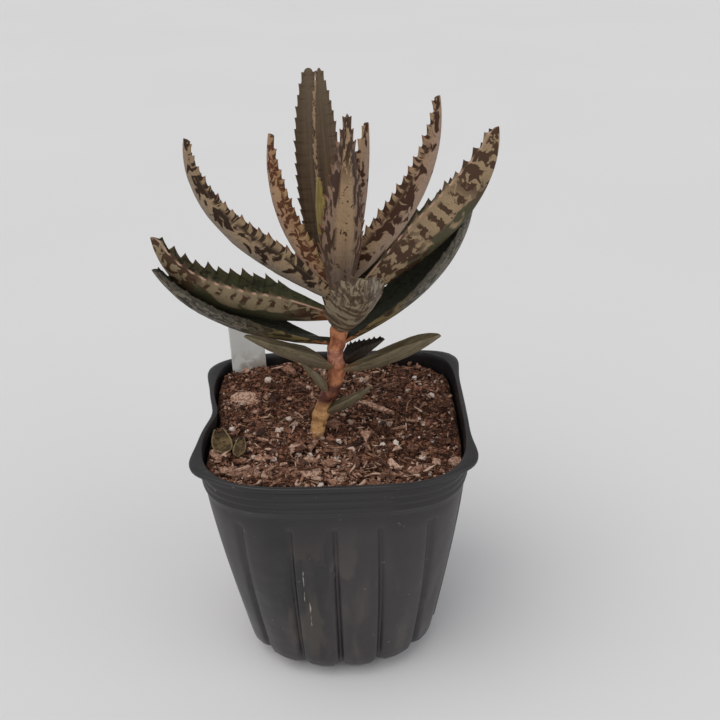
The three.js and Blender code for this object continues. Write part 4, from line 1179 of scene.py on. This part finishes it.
def set_down(points, thing, lift=0):
    """Moves points to the thing's place on the soil."""
    ground = float(soil_height(np.array(thing.x), np.array(thing.y)))
    return points + np.array([thing.x, thing.y, ground + lift])


def make_label(material):
    half = LABEL.width / 2
    shoulder = LABEL.point - LABEL.below
    inner = half - LABEL.corner
    outline = [(0, -LABEL.below), (half, shoulder)]
    for side, start in ((1, 0), (-1, math.pi / 2)):
        for i in range(LABEL_CORNER_STEPS + 1):
            turn = start + i / LABEL_CORNER_STEPS * math.pi / 2
            outline.append((side * inner + LABEL.corner * math.cos(turn),
                            LABEL.above - LABEL.corner + LABEL.corner * math.sin(turn)))
    outline = np.array(outline + [(-half, shoulder)])
    rings = []
    for depth, inset in LABEL_RINGS:
        x, z = (outline * (1 - inset / half)).T
        rings.append(np.column_stack([x, np.full(len(x), -depth * LABEL.thick), z]))
    points, faces = closed_rings(rings, (0, LABEL.thick / 2, 0), (0, -LABEL.thick / 2, 0))
    points = set_down(turned(points, LABEL.turn * RAD, 0, -LABEL.lean * RAD), LABEL)
    make_piece("blank_label", points, faces, material, "label_plastic", ["plant_label"], smooth=False)


def label_material():
    shader = Shader("label_plastic", 0.4, 0.45)
    place = shader.place()
    z = shader.split(place)[2]
    smudge = shader.noise(place, 120, 4, 0.5)
    shader.coat = shader.mix(smudge, (222, 222, 218), (198, 197, 192))
    muddy = shader.times(shader.step(z, 0.118, 0.106), shader.step(smudge, 0.4, 0.6), 0.6)
    shader.paint(muddy, (122, 98, 80))
    shader.bump(smudge, 0.08)
    return shader.finish()


def make_shed_leaf(shed, index, material):
    blade = SHED_BLADE
    end_lift = blade.end_lift * shed.cup
    across = np.linspace(-1, 1, SHED_COLUMNS)
    rings = []
    for s in np.linspace(0, 1, SHED_ROWS):
        way = between((blade.starts, blade.ends), s)
        half = shed.width / 2 * math.sin(math.pi * way) ** blade.roundness
        crinkle = blade.crinkle * np.sin(9 * s + 3 * across + index) * np.abs(across)
        height = end_lift * (2 * s - 1) ** 2 + blade.edge_lift * shed.cup * across ** 2 + crinkle
        low = np.column_stack([np.full(SHED_COLUMNS, (s - 0.5) * shed.length), across * half, height])
        high = low + np.array([0, 0, blade.thick * blade.thick_share])
        rings.append(np.concatenate([low, high[::-1]]))
    rim = np.tile(np.abs(np.concatenate([across, across[::-1]])), SHED_ROWS)
    reach = shed.length / 2 + blade.tip_length
    tail, tip = ((end * reach, 0, end_lift + blade.tip_lift) for end in (-1, 1))
    points, faces = closed_rings(rings, tail, tip)
    points = set_down(turned(points, shed.turn * RAD, 0, 0), shed, blade.lift)
    make_piece("dried_" + shed.name, points, faces, material, "dried_leaf", [shed.name],
               values=dict(rim=np.append(rim, (1, 1))))


def shed_material():
    shader = Shader("dried_leaf", 0.8, 0.25)
    place = shader.place()
    patches = shader.noise(place, 260, 4, 0.8)
    shader.coat = shader.mix(shader.step(patches, 0.35, 0.65), (112, 92, 62), (70, 54, 36))
    shader.paint(shader.step(shader.noise(place, 700), 0.52, 0.66), (48, 36, 26))
    shader.paint(shader.step(shader.attribute("rim"), 0.8, 0.95), (132, 115, 82))
    shader.bump(patches, 0.5)
    return shader.finish()


# ---- build

make_camera()
make_studio()
make_floor()
cut_drain_holes(make_pot(pot_material()))
make_soil(soil_material())
make_litter()
make_stem(stem_material())
LOOKS = leaf_looks()
for number, row in enumerate(LEAVES):
    make_leaf(row, number, LOOKS)
make_label(label_material())
dried = shed_material()
for number, shed in enumerate(SHED):
    make_shed_leaf(shed, number, dried)
